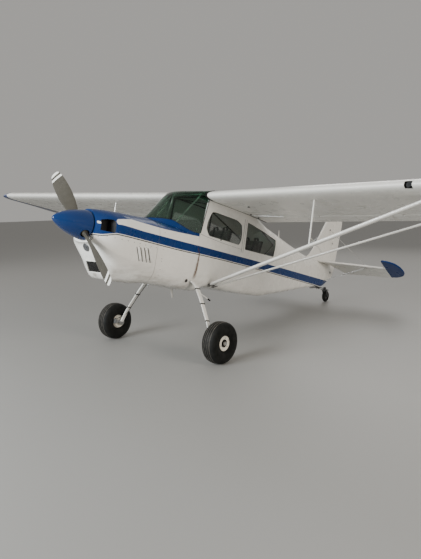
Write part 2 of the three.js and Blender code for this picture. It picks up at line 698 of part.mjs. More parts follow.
// The stub axle, its flange on the leg and the brake's caliper block
function axle(side) {
  const flange = rod(axleMiddle(side, 897), axleMiddle(side, 924), 46, 16);
  const stub = rod(axleMiddle(side, 916), axleMiddle(side, mainWheel.x + 96), 19, 16);
  const caliper = box([side > 0 ? 926 : -974, side > 0 ? 974 : -926], [mainWheel.aft - 110, mainWheel.aft - 66],
    [mainWheel.up - 34, mainWheel.up + 34]);
  const carrier = box([side > 0 ? 914 : -930, side > 0 ? 930 : -914], [mainWheel.aft - 108, mainWheel.aft - 20],
    [mainWheel.up - 24, mainWheel.up + 24]);
  const discRoom = rod(axleMiddle(side, 951), axleMiddle(side, 969), 96, 20);
  return cut(join(flange, stub, cut(caliper, discRoom), carrier), legRoom(side));
}

function wheel(side) {
  const { rim, hubHalf } = mainWheel;
  const flange = rim + 16;
  // radius, out from the wheel's middle: the brake disc, the inner face, the barrel with its flanges and the outer face
  const profile = [
    [19.6, -104], [86, -104], [86, -98], [40, -98], [40, -72], [flange, -hubHalf], [flange, -hubHalf + 8], [rim, -hubHalf + 10],
    [rim, hubHalf - 10], [flange, hubHalf - 8], [flange, hubHalf], [46, 52], [34, 84], [19.6, 84],
    [19.6, -104],
  ];
  return turned(profile, axleMiddle(side, mainWheel.x), point(side, 0, 0), 18);
}

// Half of a tyre's outline, from the bead to the middle of the tread, mirrored about the wheel's middle
function tyre(middle, direction, radius, width, rim, bead, sides) {
  const half = width / 2;
  const outer = [
    [rim + 0.6, bead], [rim + 16, bead], [rim + 30, bead + 14], [rim + (radius - rim) * 0.5, half],
    [radius - half * 0.3, half * 0.86], [radius, half * 0.45],
  ];
  const inner = outer.toReversed().map(([r, along]) => [r, -along]);
  return turned([...outer, ...inner, outer[0]], middle, direction, sides);
}

const mainTyre = (side) => tyre(axleMiddle(side, mainWheel.x), point(side, 0, 0), mainWheel.radius, mainWheel.width, mainWheel.rim,
  mainWheel.hubHalf - 10.5, 28);

// The tail

const inTail = (x, aft, up) => point(x, aft, tail.up + up);

// A flat surface with rounded edges: an outline of [x, aft] places, thinner towards its edge
function platePiece(outline, thick, up) {
  const rim = (shift, height) => outline.map(([x, aft, edge]) => point(x + shift * (edge?.[0] ?? 0), aft + shift * (edge?.[1] ?? 0), up + height));
  return loft([rim(0, -thick / 2), rim(0, thick / 2)]);
}

const stabiliserOutline = [
  // x, aft
  [0, 5560], [90, 5600], [1110, 5972], [1236, 6052], [1240, 6090], [0, 6090],
];

function stabiliserPlate() {
  const right = stabiliserOutline.slice(1, -1).toReversed().map(([x, aft]) => [-x, aft]);
  const outline = [...stabiliserOutline, ...right];
  return platePiece(outline, tail.thick, tail.up);
}

const elevatorHalfThick = 15;
const elevatorNose = elevatorHalfThick;
const elevatorHinge = (x) => point(x, tail.hinge, tail.up);
const elevatorPlaces = [-1100, -280, 280, 1100].map((x) => (x + tail.halfSpan) / (2 * tail.halfSpan));
const elevatorHinges = () => hinges(elevatorHinge(-tail.halfSpan), elevatorHinge(tail.halfSpan), elevatorPlaces, forward,
  tail.hinge - 6070, elevatorNose);

function stabiliser() {
  const bolts = bothSides.map(([, side]) => rod(point(side * brace.x, brace.aft, tail.up - 40),
    point(side * brace.x, brace.aft, tail.up + 40), brace.bolt, 8));
  return join(cut(stabiliserPlate(), ...bolts), elevatorHinges().arms);
}

// Drawn in its own plane, with its hinge line at zero and its rear edge behind, then drooped
const elevatorOutline = [
  // x, behind the hinge
  [110, 0], [110, 60], [235, 250], [300, 372], [1180, 380], [1400, 350], [1530, 270], [1592, 150], [1600, 20],
  [1580, -120], [1520, -240], [1420, -320], [1320, -350], [1272, -330], [1262, -20], [1262, 0],
];

function elevator() {
  const droop = radians(tail.droop);
  const drooped = (x, behind, height) => point(x, tail.hinge + behind * Math.cos(droop) + height * Math.sin(droop),
    tail.up - behind * Math.sin(droop) + height * Math.cos(droop));
  const halves = bothSides.map(([, side]) => {
    const level = (height) => elevatorOutline.map(([x, behind]) => drooped(side * x, behind, height));
    const plate = loft([level(-elevatorHalfThick), level(elevatorHalfThick)]);
    const nose = rod(elevatorHinge(side * 110), elevatorHinge(side * 1262), elevatorNose, 12);
    return join(plate, nose);
  });
  const tube = rod(elevatorHinge(-150), elevatorHinge(150), 12, 12);
  return cut(join(...halves, tube), elevatorHinges().slots);
}

const finOutline = [
  // aft, up
  [5262, 480], [5360, 560], [5461, 673], [5587, 874], [5837, 1289], [5980, 1520], [6060, 1612], [6130, 1660],
  [6206, 1684], [6206, 480],
];
const rudderOutline = [
  // behind the hinge, up
  [0, 168], [70, 176], [160, 250], [212, 420], [222, 580], [300, 1300], [296, 1440], [262, 1560], [190, 1644], [90, 1686],
  [0, 1692],
];
const rudderNose = 15;
const rudderHinge = (up) => point(0, fin.hinge, up);
const rudderSpan = { low: 168, high: 1692 };
const rudderPlaces = [0.06, 0.5, 0.92];
const rudderHinges = () => hinges(rudderHinge(rudderSpan.low), rudderHinge(rudderSpan.high), rudderPlaces, forward,
  fin.hinge - 6190, rudderNose);

function finPlate() {
  const blade = sidePrism(finOutline, -fin.thick / 2, fin.thick / 2);
  const seatRoom = body(rearSections, -seat, -5, 5);
  const stab = platePiece([[-200, 5500], [200, 5500], [200, 6130], [-200, 6130]], tail.thick + 2 * seat, tail.up);
  const upperArms = rudderHinges().arms.intersect(above(520));
  return join(cut(blade, seatRoom, stab), upperArms);
}

function rearFuselage() {
  const outer = body(rearSections, 0, seat, 0);
  const room = platePiece(stabiliserRoom(), tail.thick + 2 * seat, tail.up);
  const lowerArm = rudderHinges().arms.intersect(below(400));
  return join(cut(outer, room), lowerArm);
}

// A slot across the tail for the stabiliser, wider than its own outline
function stabiliserRoom() {
  const half = stabiliserOutline.slice(0, 3).map(([x, aft]) => [x, aft - 2 * seat]);
  const right = half.slice(1).toReversed().map(([x, aft]) => [-x, aft]);
  return [...half, [1240, 6300], [-1240, 6300], ...right];
}

function rudder() {
  const plate = sidePrism(rudderOutline.map(([behind, up]) => [fin.hinge + behind, up]), -14, 14);
  const nose = rod(rudderHinge(rudderSpan.low), rudderHinge(rudderSpan.high), rudderNose, 12);
  const elevatorRoom = box([-40, 40], [fin.hinge - 200, fin.hinge - 70], [300, 600]);
  return cut(join(plate, nose), rudderHinges().slots, elevatorRoom);
}

// Two wires above and two below each half of the stabiliser, drawn to one bolt through it
const brace = { x: 900, aft: 6030, bolt: 6, upper: { aft: 6020, up: 1180 }, lower: { x: 90, aft: 5940, up: 122 } };

function braceWires(side) {
  const skin = tail.thick / 2 + seat;
  const parts = [rod(point(side * brace.x, brace.aft, tail.up - skin - 8), point(side * brace.x, brace.aft, tail.up + skin + 8),
    brace.bolt - 0.5, 8)];
  for (const upward of [1, -1]) {
    const root = upward > 0 ? point(side * (fin.thick / 2 + seat + 8), brace.upper.aft, brace.upper.up)
      : point(side * brace.lower.x, brace.lower.aft, brace.lower.up);
    const foot = tail.up + upward * (skin + 5);
    for (const aft of [brace.aft - 34, brace.aft + 28]) parts.push(rod(root, point(side * brace.x, aft, foot), 4, 6));
    parts.push(turnedBox(root, squareOn, [16, 36, 30]));
    parts.push(turnedBox(point(side * brace.x, brace.aft - 4, foot), squareOn, [34, 96, 10]));
  }
  return cut(join(...parts), body(rearSections, -seat, -5, 0));
}

// The tail's leaf spring and its pivot head are drawn level, and the fork upright on the floor.
// The pivot stands over the wheel, a little ahead of its axle.
const pivotStand = { ahead: 40, above: 148 };
const pivot = {
  aft: tailWheel.aft - pivotStand.ahead * Math.cos(tippedBack) - pivotStand.above * Math.sin(tippedBack),
  up: tailWheel.up - pivotStand.ahead * Math.sin(tippedBack) + pivotStand.above * Math.cos(tippedBack),
};

function tailSpring() {
  const stations = [
    // aft, up, thickness
    [5560, -55, 18], [5760, -28, 18], [5960, -28, 16], [6120, -24, 14], [6210, -20, 14],
  ];
  const half = 24;
  const rings = stations.map(([aft, up, thick]) => [
    point(-half, aft, up - thick / 2), point(half, aft, up - thick / 2), point(half, aft, up + thick / 2), point(-half, aft, up + thick / 2),
  ]);
  const upright = point(0, -Math.sin(tippedBack), Math.cos(tippedBack));
  const middle = point(0, pivot.aft, pivot.up);
  const head = rod(middle.clone().addScaledVector(upright, 0), middle.clone().addScaledVector(upright, 46), 26, 14);
  const pin = rod(middle.clone().addScaledVector(upright, -22), middle.clone().addScaledVector(upright, 20), 9, 12);
  return cut(join(loft(rings), head, pin), body(rearSections, -seat, -5, 5));
}

// In the fork's own frame the pivot is at the origin, +Z is upright and the wheel's axle is behind and below.
const axlePlace = { aft: pivotStand.ahead, up: -pivotStand.above };

function tailFork() {
  const { aft, up } = axlePlace;
  const crown = box([-46, 46], [-30, 40], [-24, -seat]);
  const arms = [1, -1].map((side) => {
    const outline = [[-26, -4], [-26, -24], [aft - 16, up - 14], [aft + 16, up - 14], [aft + 20, up + 10], [38, -24], [38, -4]];
    return sidePrism(outline, side * 37, side * 46);
  });
  const pin = rod(point(-42, aft, up), point(42, aft, up), 7, 12);
  const steeringArm = box([-92, 92], [-10, 10], [-14, -4]);
  return cut(join(crown, ...arms, pin, steeringArm), rod(point(0, 0, -40), point(0, 0, 10), 9.6, 12));
}

function tailHub() {
  const { aft, up } = axlePlace;
  const profile = [[7.6, -32], [20, -32], [20, -14], [tailWheel.rim, -14], [tailWheel.rim, 14], [20, 14], [20, 32], [7.6, 32], [7.6, -32]];
  return turned(profile, point(0, aft, up), point(1, 0, 0), 24);
}

function tailTyre() {
  const { aft, up } = axlePlace;
  const { rim, radius, width } = tailWheel;
  const half = width / 2;
  const profile = [[rim + seat, -18], [rim + 22, -half], [radius - 12, -half * 0.8], [radius, -half * 0.4], [radius, half * 0.4],
    [radius - 12, half * 0.8], [rim + 22, half], [rim + seat, 18], [rim + seat, -18]];
  return turned(profile, point(0, aft, up), point(1, 0, 0), 24);
}

// The door

function doorPanel() {
  const shell = cut(body(cabinSections, 0, 0, 0), body(cabinSections, cabin.wall, -20, 20));
  const panel = shell.intersect(sidePrism(door.corners, -200, -500));
  const windowHole = sidePrism(rounded(doorWindow, 14, 2), -200, -500);
  const { x, aft, low, high } = door.hinge;
  const knuckles = [low, high].flatMap((up) => [
    rod(point(-x, aft, up), point(-x, aft, up + 40), 6, 10),
    box([-x - 3, -x + 6], [aft, aft + 54], [up, up + 40]),
    box([-x - 3, -x + 24], [aft + 16, aft + 54], [up, up + 40]),
  ]);
  const pinHoles = [low, high].map((up) => rod(point(-x, aft, up - 60), point(-x, aft, up + 60), 3.4, 10));
  return cut(join(cut(panel, windowHole), ...knuckles), ...pinHoles);
}

function doorPins() {
  const { x, aft, low, high } = door.hinge;
  return join(...[low, high].flatMap((up) => [
    rod(point(-x, aft, up - 20), point(-x, aft, up + 44), 3, 10),
    rod(point(-x, aft, up - 20), point(-x, aft, up - seat), 6, 10),
    box([-x - 3, -x + 24], [aft - 44, aft], [up - 20, up - seat]),
  ]));
}

// Putting it together

const aircraft = new THREE.Group();
const airframe = new THREE.Group();
airframe.rotation.x = -tippedBack;
aircraft.add(airframe);
const tailUnit = new THREE.Group();
tailUnit.position.set(0, pivot.aft, pivot.up);
tailUnit.rotation.x = tippedBack;
airframe.add(tailUnit);

function addPart(name, solid, look, group = airframe) {
  const { vertProperties, triVerts, numProp } = solid.getMesh();
  const geometry = new THREE.BufferGeometry();
  const positions = [];
  for (let i = 0; i < vertProperties.length; i += numProp) positions.push(...vertProperties.slice(i, i + 3));
  geometry.setAttribute("position", new THREE.Float32BufferAttribute(positions, 3));
  geometry.setIndex(Array.from(triVerts));
  geometry.computeVertexNormals();
  const mesh = new THREE.Mesh(geometry, new THREE.MeshStandardMaterial(look));
  mesh.name = name;
  group.add(mesh);
}

const cowling = cowlShell();
const legRooms = bothSides.map(([, side]) => legRoom(side));
const cabinBody = cabinShell();

addPart("spinner", spinnerShell(), blue);
addPart("propeller_hub", propellerHub(), steel);
addPart("blade_upper", blade(1), grey);
addPart("blade_lower", blade(-1), grey);
addPart("cowl_upper", upperCowl(cowling), blue);
addPart("cowl_lower", lowerCowl(cowling), white);
addPart("engine_block", engineBlock(), grey);
addPart("firewall", firewallPlate(), steel);
addPart("boot_cowl", bootCowl(legRooms), white);
addPart("instrument_panel", instrumentPanel(), dark);
addPart("cabin_side_left", cabinSide(cabinBody, 1), white);
addPart("cabin_side_right", cabinSide(cabinBody, -1).add(doorPins()), white);
addPart("cabin_floor", cabinFloor(cabinBody, legRooms), white);
addPart("cabin_roof", roofPiece(cabinBody, skylight.rear + seat, cabin.rear), white);
addPart("skylight", roofPiece(cabinBody, screen.top + seat, skylight.rear), tinted);
addPart("windscreen", windscreenPane(), tinted);
addPart("window_left_front", pane(cabinSections, frontWindow, 14, 2, 1), smoked);
addPart("window_left_rear", pane(cabinSections, rearWindow, 24, 3, 1), smoked);
addPart("window_right_rear", pane(cabinSections, rearWindow, 24, 3, -1), smoked);
addPart("cabin_frame", cabinFrame(), dark);
addPart("seat_front", chair(2010, -520), cloth);
addPart("seat_rear", chair(2860, -520), cloth);
addPart("stick_front", stick(1900, -560), dark);
addPart("stick_rear", stick(2780, -500), dark);
addPart("door", doorPanel(), white);
addPart("door_window", pane(cabinSections, doorWindow, 14, 2, -1), smoked);
addPart("tail_cone", rearFuselage(), white);
addPart("fin", finPlate(), white);
addPart("stabiliser", stabiliser(), white);
addPart("elevator", elevator(), white);
addPart("rudder", rudder(), white);
addPart("tail_spring", tailSpring(), black);
addPart("tail_fork", tailFork(), black, tailUnit);
addPart("tailwheel_hub", tailHub(), black, tailUnit);
addPart("tailwheel_tyre", tailTyre(), black, tailUnit);

for (const [name, side] of bothSides) {
  const struts = ["front", "rear"].map((which) => liftStrut(side, which));
  addPart(`wing_${name}`, wingPanel(side), white);
  addPart(`wing_tip_${name}`, wingTip(side), blue);
  addPart(`flap_${name}`, surface(side, flap, flapHinges(side).slots), white);
  addPart(`aileron_${name}`, surface(side, aileron, aileronHinges(side).slots), white);
  addPart(`strut_front_${name}`, struts[0], white);
  addPart(`strut_rear_${name}`, struts[1], white);
  addPart(`jury_strut_${name}`, juryStrut(side, struts), white);
  addPart(`gear_leg_${name}`, gearLeg(side), cream);
  addPart(`axle_${name}`, axle(side), steel);
  addPart(`wheel_${name}`, wheel(side), cream);
  addPart(`tyre_${name}`, mainTyre(side), black);
  addPart(`brace_wires_${name}`, braceWires(side), steel);
}

// The floor is under the tyres, and the aircraft is centred on its whole length.
aircraft.updateMatrixWorld(true);
const extent = new THREE.Box3().setFromObject(aircraft, true);
airframe.position.set(0, -(extent.min.y + extent.max.y) / 2, -extent.min.z);
aircraft.updateMatrixWorld(true);

export default aircraft;
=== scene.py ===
from math import copysign, cos, exp, hypot, pi, radians, sin, sqrt, tan

import bmesh
import bpy
import numpy as np
from mathutils import Matrix, Quaternion, Vector
from mathutils.bvhtree import BVHTree


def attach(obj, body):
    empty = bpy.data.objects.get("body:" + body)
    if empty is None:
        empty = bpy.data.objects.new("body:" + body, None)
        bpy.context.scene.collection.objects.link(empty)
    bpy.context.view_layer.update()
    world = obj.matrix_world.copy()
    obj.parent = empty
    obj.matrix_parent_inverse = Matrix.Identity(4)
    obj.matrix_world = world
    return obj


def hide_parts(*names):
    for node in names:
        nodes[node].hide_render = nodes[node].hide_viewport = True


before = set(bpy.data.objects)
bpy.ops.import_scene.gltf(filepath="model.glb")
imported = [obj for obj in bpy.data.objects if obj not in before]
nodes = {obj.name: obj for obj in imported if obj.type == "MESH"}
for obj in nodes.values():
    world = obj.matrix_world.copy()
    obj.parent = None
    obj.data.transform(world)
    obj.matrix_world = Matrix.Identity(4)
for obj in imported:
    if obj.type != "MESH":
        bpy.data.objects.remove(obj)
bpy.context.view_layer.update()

print("frame loaded,", len(nodes), "nodes")

# Shapes are drawn level, in millimetres: x to the aircraft's left, y aft of the propeller hub, z up.
# onGear tips them back onto the tailwheel, in metres.
stance = {"hub": (0, -3.15219, 1.83435), "tippedBack": radians(14.342)}
tipBack = Matrix.Rotation(-stance["tippedBack"], 4, "X")
onGear = Matrix.Translation(stance["hub"]) @ tipBack @ Matrix.Scale(0.001, 4)
levelFromRow = tipBack.inverted() @ Matrix.Translation(-Vector(stance["hub"]))
bothSides = (("left", 1), ("right", -1))
toLeft, toRear, upward = Vector((1, 0, 0)), Vector((0, 1, 0)), Vector((0, 0, 1))
far = 7000  # beyond every shape

# Camera, as the photo was taken
shot = {
    "place": (5.3555, -6.9542, 2.0587), "heading": 131.11, "pitch": -8.14, "roll": -0.69,
    "focalPixels": 530.7, "photo": (421, 559), "middleColumn": 209.0, "sensor": 36,
}
camera = bpy.data.objects.new("camera", bpy.data.cameras.new("camera"))
bpy.context.scene.collection.objects.link(camera)
camera.location = shot["place"]
heading, pitch = radians(shot["heading"]), radians(shot["pitch"])
ahead = Vector((cos(pitch) * cos(heading), cos(pitch) * sin(heading), sin(pitch)))
camera.rotation_mode = "QUATERNION"
camera.rotation_quaternion = ahead.to_track_quat("-Z", "Y") @ Quaternion(upward, radians(shot["roll"]))
camera.data.sensor_width = shot["sensor"]
camera.data.lens = shot["focalPixels"] / shot["photo"][1] * shot["sensor"]
camera.data.shift_x = (shot["photo"][0] / 2 - shot["middleColumn"]) / shot["photo"][1]
camera.data.clip_end = 200
bpy.context.scene.camera = camera


# Solids

def clamped(value, low=0, high=1):
    return min(max(value, low), high)


# Cosine and sine at equal steps round a circle
def roundAbout(count):
    return [(cos(2 * pi * k / count), sin(2 * pi * k / count)) for k in range(count)]


def meshFrom(points, faces):
    mesh = bpy.data.meshes.new("shape")
    mesh.from_pydata([tuple(p) for p in points], [], faces)
    work = bmesh.new()
    work.from_mesh(mesh)
    bmesh.ops.remove_doubles(work, verts=work.verts, dist=1e-4)
    bmesh.ops.recalc_face_normals(work, faces=work.faces)
    work.to_mesh(mesh)
    work.free()
    return mesh


# A skin over a row of rings, closed at both ends, or into itself where the last ring is the first
def loft(rings):
    looped = rings[0] is rings[-1]
    count = len(rings[0])
    points = [p for ring in (rings[:-1] if looped else rings) for p in ring]
    faces = []
    for ring in range(len(rings) - 1):
        for i in range(count):
            a, b = ring * count + i, ring * count + (i + 1) % count
            faces.append((a, b, (b + count) % len(points), (a + count) % len(points)))
    if not looped:
        faces += [tuple(range(count)), tuple(range(len(points) - count, len(points)))]
    return meshFrom(points, faces)


def boxOf(x, y, z):
    corners = [(a, b, c) for c in z for b in y for a in x]
    faces = [(0, 1, 3, 2), (4, 5, 7, 6), (0, 1, 5, 4), (2, 3, 7, 6), (0, 2, 6, 4), (1, 3, 7, 5)]
    return meshFrom(corners, faces)


# The turn that lays x, y and z along three directions
def turnOf(directions):
    return Matrix([Vector(d) for d in directions]).transposed()


def turnedBox(middle, directions, size):
    shape = boxOf(*[(-length / 2, length / 2) for length in size])
    shape.transform(Matrix.Translation(middle) @ turnOf(directions).to_4x4())
    return shape


# Turns a profile of (radius, along) pairs about an axis through a place
def turned(profile, middle=(0, 0, 0), axis=toRear, sides=64, looped=False):
    turn = Vector(axis).normalized().to_track_quat("Z", "Y").to_matrix()
    rings = [[Vector(middle) + turn @ Vector((radius * c, radius * s, along)) for c, s in roundAbout(sides)]
             for radius, along in profile]
    return loft(rings + [rings[0]] if looped else rings)


def rod(start, end, radius, sides=20, endRadius=None):
    start, along = Vector(start), Vector(end) - Vector(start)
    ends = [(radius, 0), (radius if endRadius is None else endRadius, along.length)]
    return turned(ends, start, along, sides)


# Which way a path runs at one of its places
def wayAlong(path, i):
    return (path[min(i + 1, len(path) - 1)] - path[max(i - 1, 0)]).normalized()


# A round tube through a row of places, with smooth bends
def tube(places, radius, sides=12, smooth=0):
    path = [Vector(p) for p in places]
    for _ in range(smooth):
        middles = [a.lerp(b, t) for a, b in zip(path, path[1:]) for t in (0.25, 0.75)]
        path = [path[0], *middles, path[-1]]
    side = wayAlong(path, 0).orthogonal().normalized()
    rings = []
    for i, here in enumerate(path):
        along = wayAlong(path, i)
        side = (side - along * side.dot(along)).normalized()
        over = along.cross(side)
        rings.append([here + (side * c + over * s) * radius for c, s in roundAbout(sides)])
    return loft(rings)


def sidePrism(outline, x0, x1):
    return loft([[(x, y, z) for y, z in outline] for x in (x0, x1)])


def roundedOutline(corners, radius, steps=5):
    outline = []
    for i, corner in enumerate(corners):
        here = Vector(corner)
        arms = [Vector(other) - here for other in (corners[i - 1], corners[(i + 1) % len(corners)])]
        a, b = [here + arm.normalized() * min(radius, arm.length * 0.49) for arm in arms]
        outline += [tuple(a.lerp(here, k / steps).lerp(here.lerp(b, k / steps), k / steps))
                    for k in range(steps + 1)]
    return outline


def joined(*shapes):
    work = bmesh.new()
    for shape in shapes:
        work.from_mesh(shape)
    mesh = bpy.data.meshes.new("shape")
    work.to_mesh(mesh)
    work.free()
    return mesh


def meshOf(thing):
    return bpy.data.meshes.new_from_object(thing.evaluated_get(bpy.context.evaluated_depsgraph_get()))


def carve(shape, *tools, way="DIFFERENCE"):
    for tool in tools:
        pair = [bpy.data.objects.new("carving", mesh) for mesh in (shape, tool)]
        for each in pair:
            bpy.context.scene.collection.objects.link(each)
        step = pair[0].modifiers.new("carve", "BOOLEAN")
        step.operation, step.object, step.solver = way, pair[1], "MANIFOLD"
        shape = meshOf(pair[0])
        if not shape.polygons:
            step.solver = "EXACT"
            shape = meshOf(pair[0])
        for each in pair:
            bpy.data.objects.remove(each)
    return shape


def kept(shape, *rooms):
    return carve(shape, *rooms, way="INTERSECT")


def mirrored(shape, side):
    other = shape.copy()
    if side < 0:
        other.transform(Matrix.Scale(-1, 4, toLeft))
        other.flip_normals()
    return other


# Puts a shape into the scene: smooth but for its edges, in its finish, on its body
def place(shape, name, finish, stands=(), body="airframe", slot=None, sharp=32, drawnLevel=True, inside=None):
    slot = slot or finish.slot
    mesh = shape.copy()
    mesh.name = name
    if inside is not None:
        for face in mesh.polygons:
            outward = face.center - Vector((0, face.center.y, inside["axis"]))
            face.material_index = 1 if face.normal.dot(outward) < -0.2 * outward.length else 0
    if drawnLevel:
        mesh.transform(onGear)
    work = bmesh.new()
    work.from_mesh(mesh)
    if work.calc_volume(signed=True) < 0:
        bmesh.ops.reverse_faces(work, faces=work.faces)
    for face in work.faces:
        face.smooth = True
    for edge in work.edges:
        edge.smooth = len(edge.link_faces) == 2 and edge.calc_face_angle(0) < radians(sharp)
    work.to_mesh(mesh)
    work.free()
    mesh.materials.clear()
    mesh.materials.append(finish.material)
    if inside is not None:
        mesh.materials.append(inside["finish"].material)
    piece = bpy.data.objects.new(name, mesh)
    bpy.context.scene.collection.objects.link(piece)
    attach(piece, body)
    if stands:
        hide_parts(*stands)
    return piece


# Finishes

# A number or colour inside a finish, which is added and multiplied like any other
class Value:
    def __init__(self, finish, socket):
        self.finish, self.socket = finish, socket

    def __add__(self, other):
        return self.finish.math("ADD", self, other)

    def __sub__(self, other):
        return self.finish.math("SUBTRACT", self, other)

    def __mul__(self, other):
        return self.finish.math("MULTIPLY", self, other)

    def __truediv__(self, other):
        return self.finish.math("DIVIDE", self, other)

    def __abs__(self):
        return self.finish.math("ABSOLUTE", self)

    # outLow below low and outHigh above high, or the other way round where low is the larger
    def ramp(self, low, high, outLow=0.0, outHigh=1.0):
        made = self.finish.node("ShaderNodeMapRange", clamp=True)
        for socket, value in zip(made.inputs, (self, low, high, outLow, outHigh)):
            self.finish.feed(socket, value)
        return Value(self.finish, made.outputs[0])


class Finish:
    def __init__(self, name, slot, roughness=0.4, **more):
        self.slot, self.bump = slot, None
        self.material = bpy.data.materials.new(name)
        self.material.use_nodes = True
        self.tree = self.material.node_tree
        self.shader = self.tree.nodes["Principled BSDF"]
        self.set(Roughness=roughness, Coat_Roughness=0.06, **more)
        self.spot = Value(self, self.node("ShaderNodeTexCoord").outputs["Object"])

    def set(self, **values):
        for key, value in values.items():
            self.feed(self.shader.inputs[key.replace("_", " ")], value)

    def feed(self, socket, value):
        if isinstance(value, Value):
            self.tree.links.new(value.socket, socket)
        else:
            socket.default_value = (*value, 1) if isinstance(value, tuple) else value

    def node(self, kind, **values):
        made = self.tree.nodes.new(kind)
        for key, value in values.items():
            if hasattr(made, key):
                setattr(made, key, value)
            else:
                self.feed(made.inputs[key], value)
        return made

    def math(self, operation, *values):
        made = self.node("ShaderNodeMath", operation=operation)
        for socket, value in zip(made.inputs, values):
            self.feed(socket, value)
        return Value(self, made.outputs[0])

    # Level coordinates in metres: left, aft and up
    def level(self):
        turn = self.node("ShaderNodeMapping", vector_type="POINT", Vector=self.spot)
        turn.inputs["Location"].default_value = levelFromRow.translation
        turn.inputs["Rotation"].default_value = (stance["tippedBack"], 0, 0)
        split = self.node("ShaderNodeSeparateXYZ", Vector=Value(self, turn.outputs[0]))
        return [Value(self, socket) for socket in split.outputs]

    def noise(self, scale, detail=3.0, roughness=0.5, stretch=None):
        where = self.spot
        if stretch:
            wide = self.node("ShaderNodeMapping", Vector=where)
            wide.inputs["Scale"].default_value = stretch
            where = Value(self, wide.outputs[0])
        made = self.node("ShaderNodeTexNoise", Scale=scale, Detail=detail, Roughness=roughness, Vector=where)
        return Value(self, made.outputs["Fac"])

    def wave(self, direction, scale, distortion=0.0):
        made = self.node("ShaderNodeTexWave", wave_type="BANDS", bands_direction=direction, Scale=scale,
                         Distortion=distortion, Vector=self.spot)
        return Value(self, made.outputs["Fac"])

    def mix(self, share, a, b):
        made = self.node("ShaderNodeMix", data_type="RGBA")
        for socket, value in ((made.inputs[0], share), (made.inputs[6], a), (made.inputs[7], b)):
            self.feed(socket, value)
        return Value(self, made.outputs[2])

    # One colour drifting between a paint and a darker share of it
    def drifting(self, paint, dark, scale, detail=4, low=0.3):
        return self.mix(self.noise(scale, detail).ramp(low, 0.75), paint, dimmed(paint, dark))

    def rough(self, scale, low, high, detail=4, start=0.3, end=0.8):
        self.set(Roughness=self.noise(scale, detail).ramp(start, end, low, high))

    def raised(self, height, strength, distance):
        made = self.node("ShaderNodeBump", Strength=strength, Distance=distance, Height=height)
        if self.bump is not None:
            self.feed(made.inputs["Normal"], self.bump)
        self.bump = Value(self, made.outputs[0])
        self.set(Normal=self.bump)

    def grain(self, scale, strength, distance, detail=2, stretch=None):
        self.raised(self.noise(scale, detail, stretch=stretch), strength, distance)

    # Height of a line drawn through pairs of places and heights, at this place
    def lineThrough(self, along, places):
        start, end = places[0][0], places[-1][0]
        low, high = min(p[1] for p in places), max(p[1] for p in places)
        curve = self.node("ShaderNodeFloatCurve", Value=along.ramp(start, end))
        line = curve.mapping.curves[0]
        while len(line.points) < len(places):
            line.points.new(0.5, 0.5)
        for point, (a, u) in zip(line.points, places):
            point.location = ((a - start) / (end - start), (u - low) / (high - low))
            point.handle_type = "VECTOR"
        curve.mapping.update()
        return Value(self, curve.outputs[0]).ramp(0, 1, low, high)


# The grime colour is dirt, and is also the painted shade under the belly.
palette = {
    "white": (0.80, 0.785, 0.735), "cream": (0.74, 0.70, 0.60), "blue": (0.0, 0.026, 0.125),
    "pinstripe": (0.005, 0.006, 0.012), "grimeAndShade": (0.17, 0.14, 0.105), "rubber": (0.0055, 0.0058, 0.0052),
    "dust": (0.26, 0.24, 0.21), "oil": (0.085, 0.036, 0.012), "bladeGrey": (0.062, 0.056, 0.043),
    "steel": (0.50, 0.50, 0.49),
}
dopedGloss = 0.28  # old dope shines less than fresh paint
paintEdge = 0.0009  # half the soft width of a painted edge, in metres


def dimmed(colour, share):
    return tuple(c * share for c in colour)


# Dirt in clouds and specks over a paint
def soiled(finish, paint, amount):
    cloudy = finish.noise(3.2, 5, 0.62).ramp(0.42, 0.82)
    specks = finish.noise(60, 3, 0.7).ramp(0.60, 0.74)
    return finish.mix((cloudy * 0.5 + specks * 0.35) * amount, paint, palette["grimeAndShade"])


def plainPaint(name, slot, colour, amount=0.25, roughness=0.28, coat=0.6):
    finish = Finish(name, slot, roughness, Coat_Weight=coat)
    finish.set(Base_Color=soiled(finish, finish.drifting(colour, 0.93, 1.7), amount))
    finish.rough(7, roughness * 0.8, roughness * 1.5)
    finish.grain(140, 0.08, 0.002)
    return finish


# The fuselage scheme: blue deck, white band, blue stripe with a thin dark line under it, white below
scheme = {
    # (aft, up) in metres
    "deckEdge": [
        (0.0, 0.124), (0.279, 0.124), (0.354, 0.144), (0.461, 0.166), (0.525, 0.176), (0.644, 0.171),
        (0.80, 0.167), (1.05, 0.166), (1.33, 0.179), (1.567, 0.193), (1.70, 0.199), (1.712, 3.0), (6.4, 3.0)],
    "stripeTop": [
        (0.0, 0.064), (0.285, 0.064), (0.349, 0.073), (0.462, 0.070), (0.681, 0.061), (0.92, 0.062),
        (1.43, 0.066), (1.709, 0.071), (2.3, 0.074), (3.244, 0.085), (5.77, 0.127), (6.4, 0.137)],
    "stripeFoot": [
        (0.0, -0.092), (0.084, -0.091), (0.134, -0.089), (0.279, -0.045), (0.302, -0.039), (0.478, -0.038),
        (0.717, -0.041), (1.258, -0.044), (1.554, -0.039), (1.733, -0.034), (2.3, -0.026), (3.16, -0.024),
        (5.77, -0.011), (6.4, -0.008)],
    "bandStart": 0.286, "bandRound": 0.020, "lineGap": 0.009, "lineWide": 0.012,
}


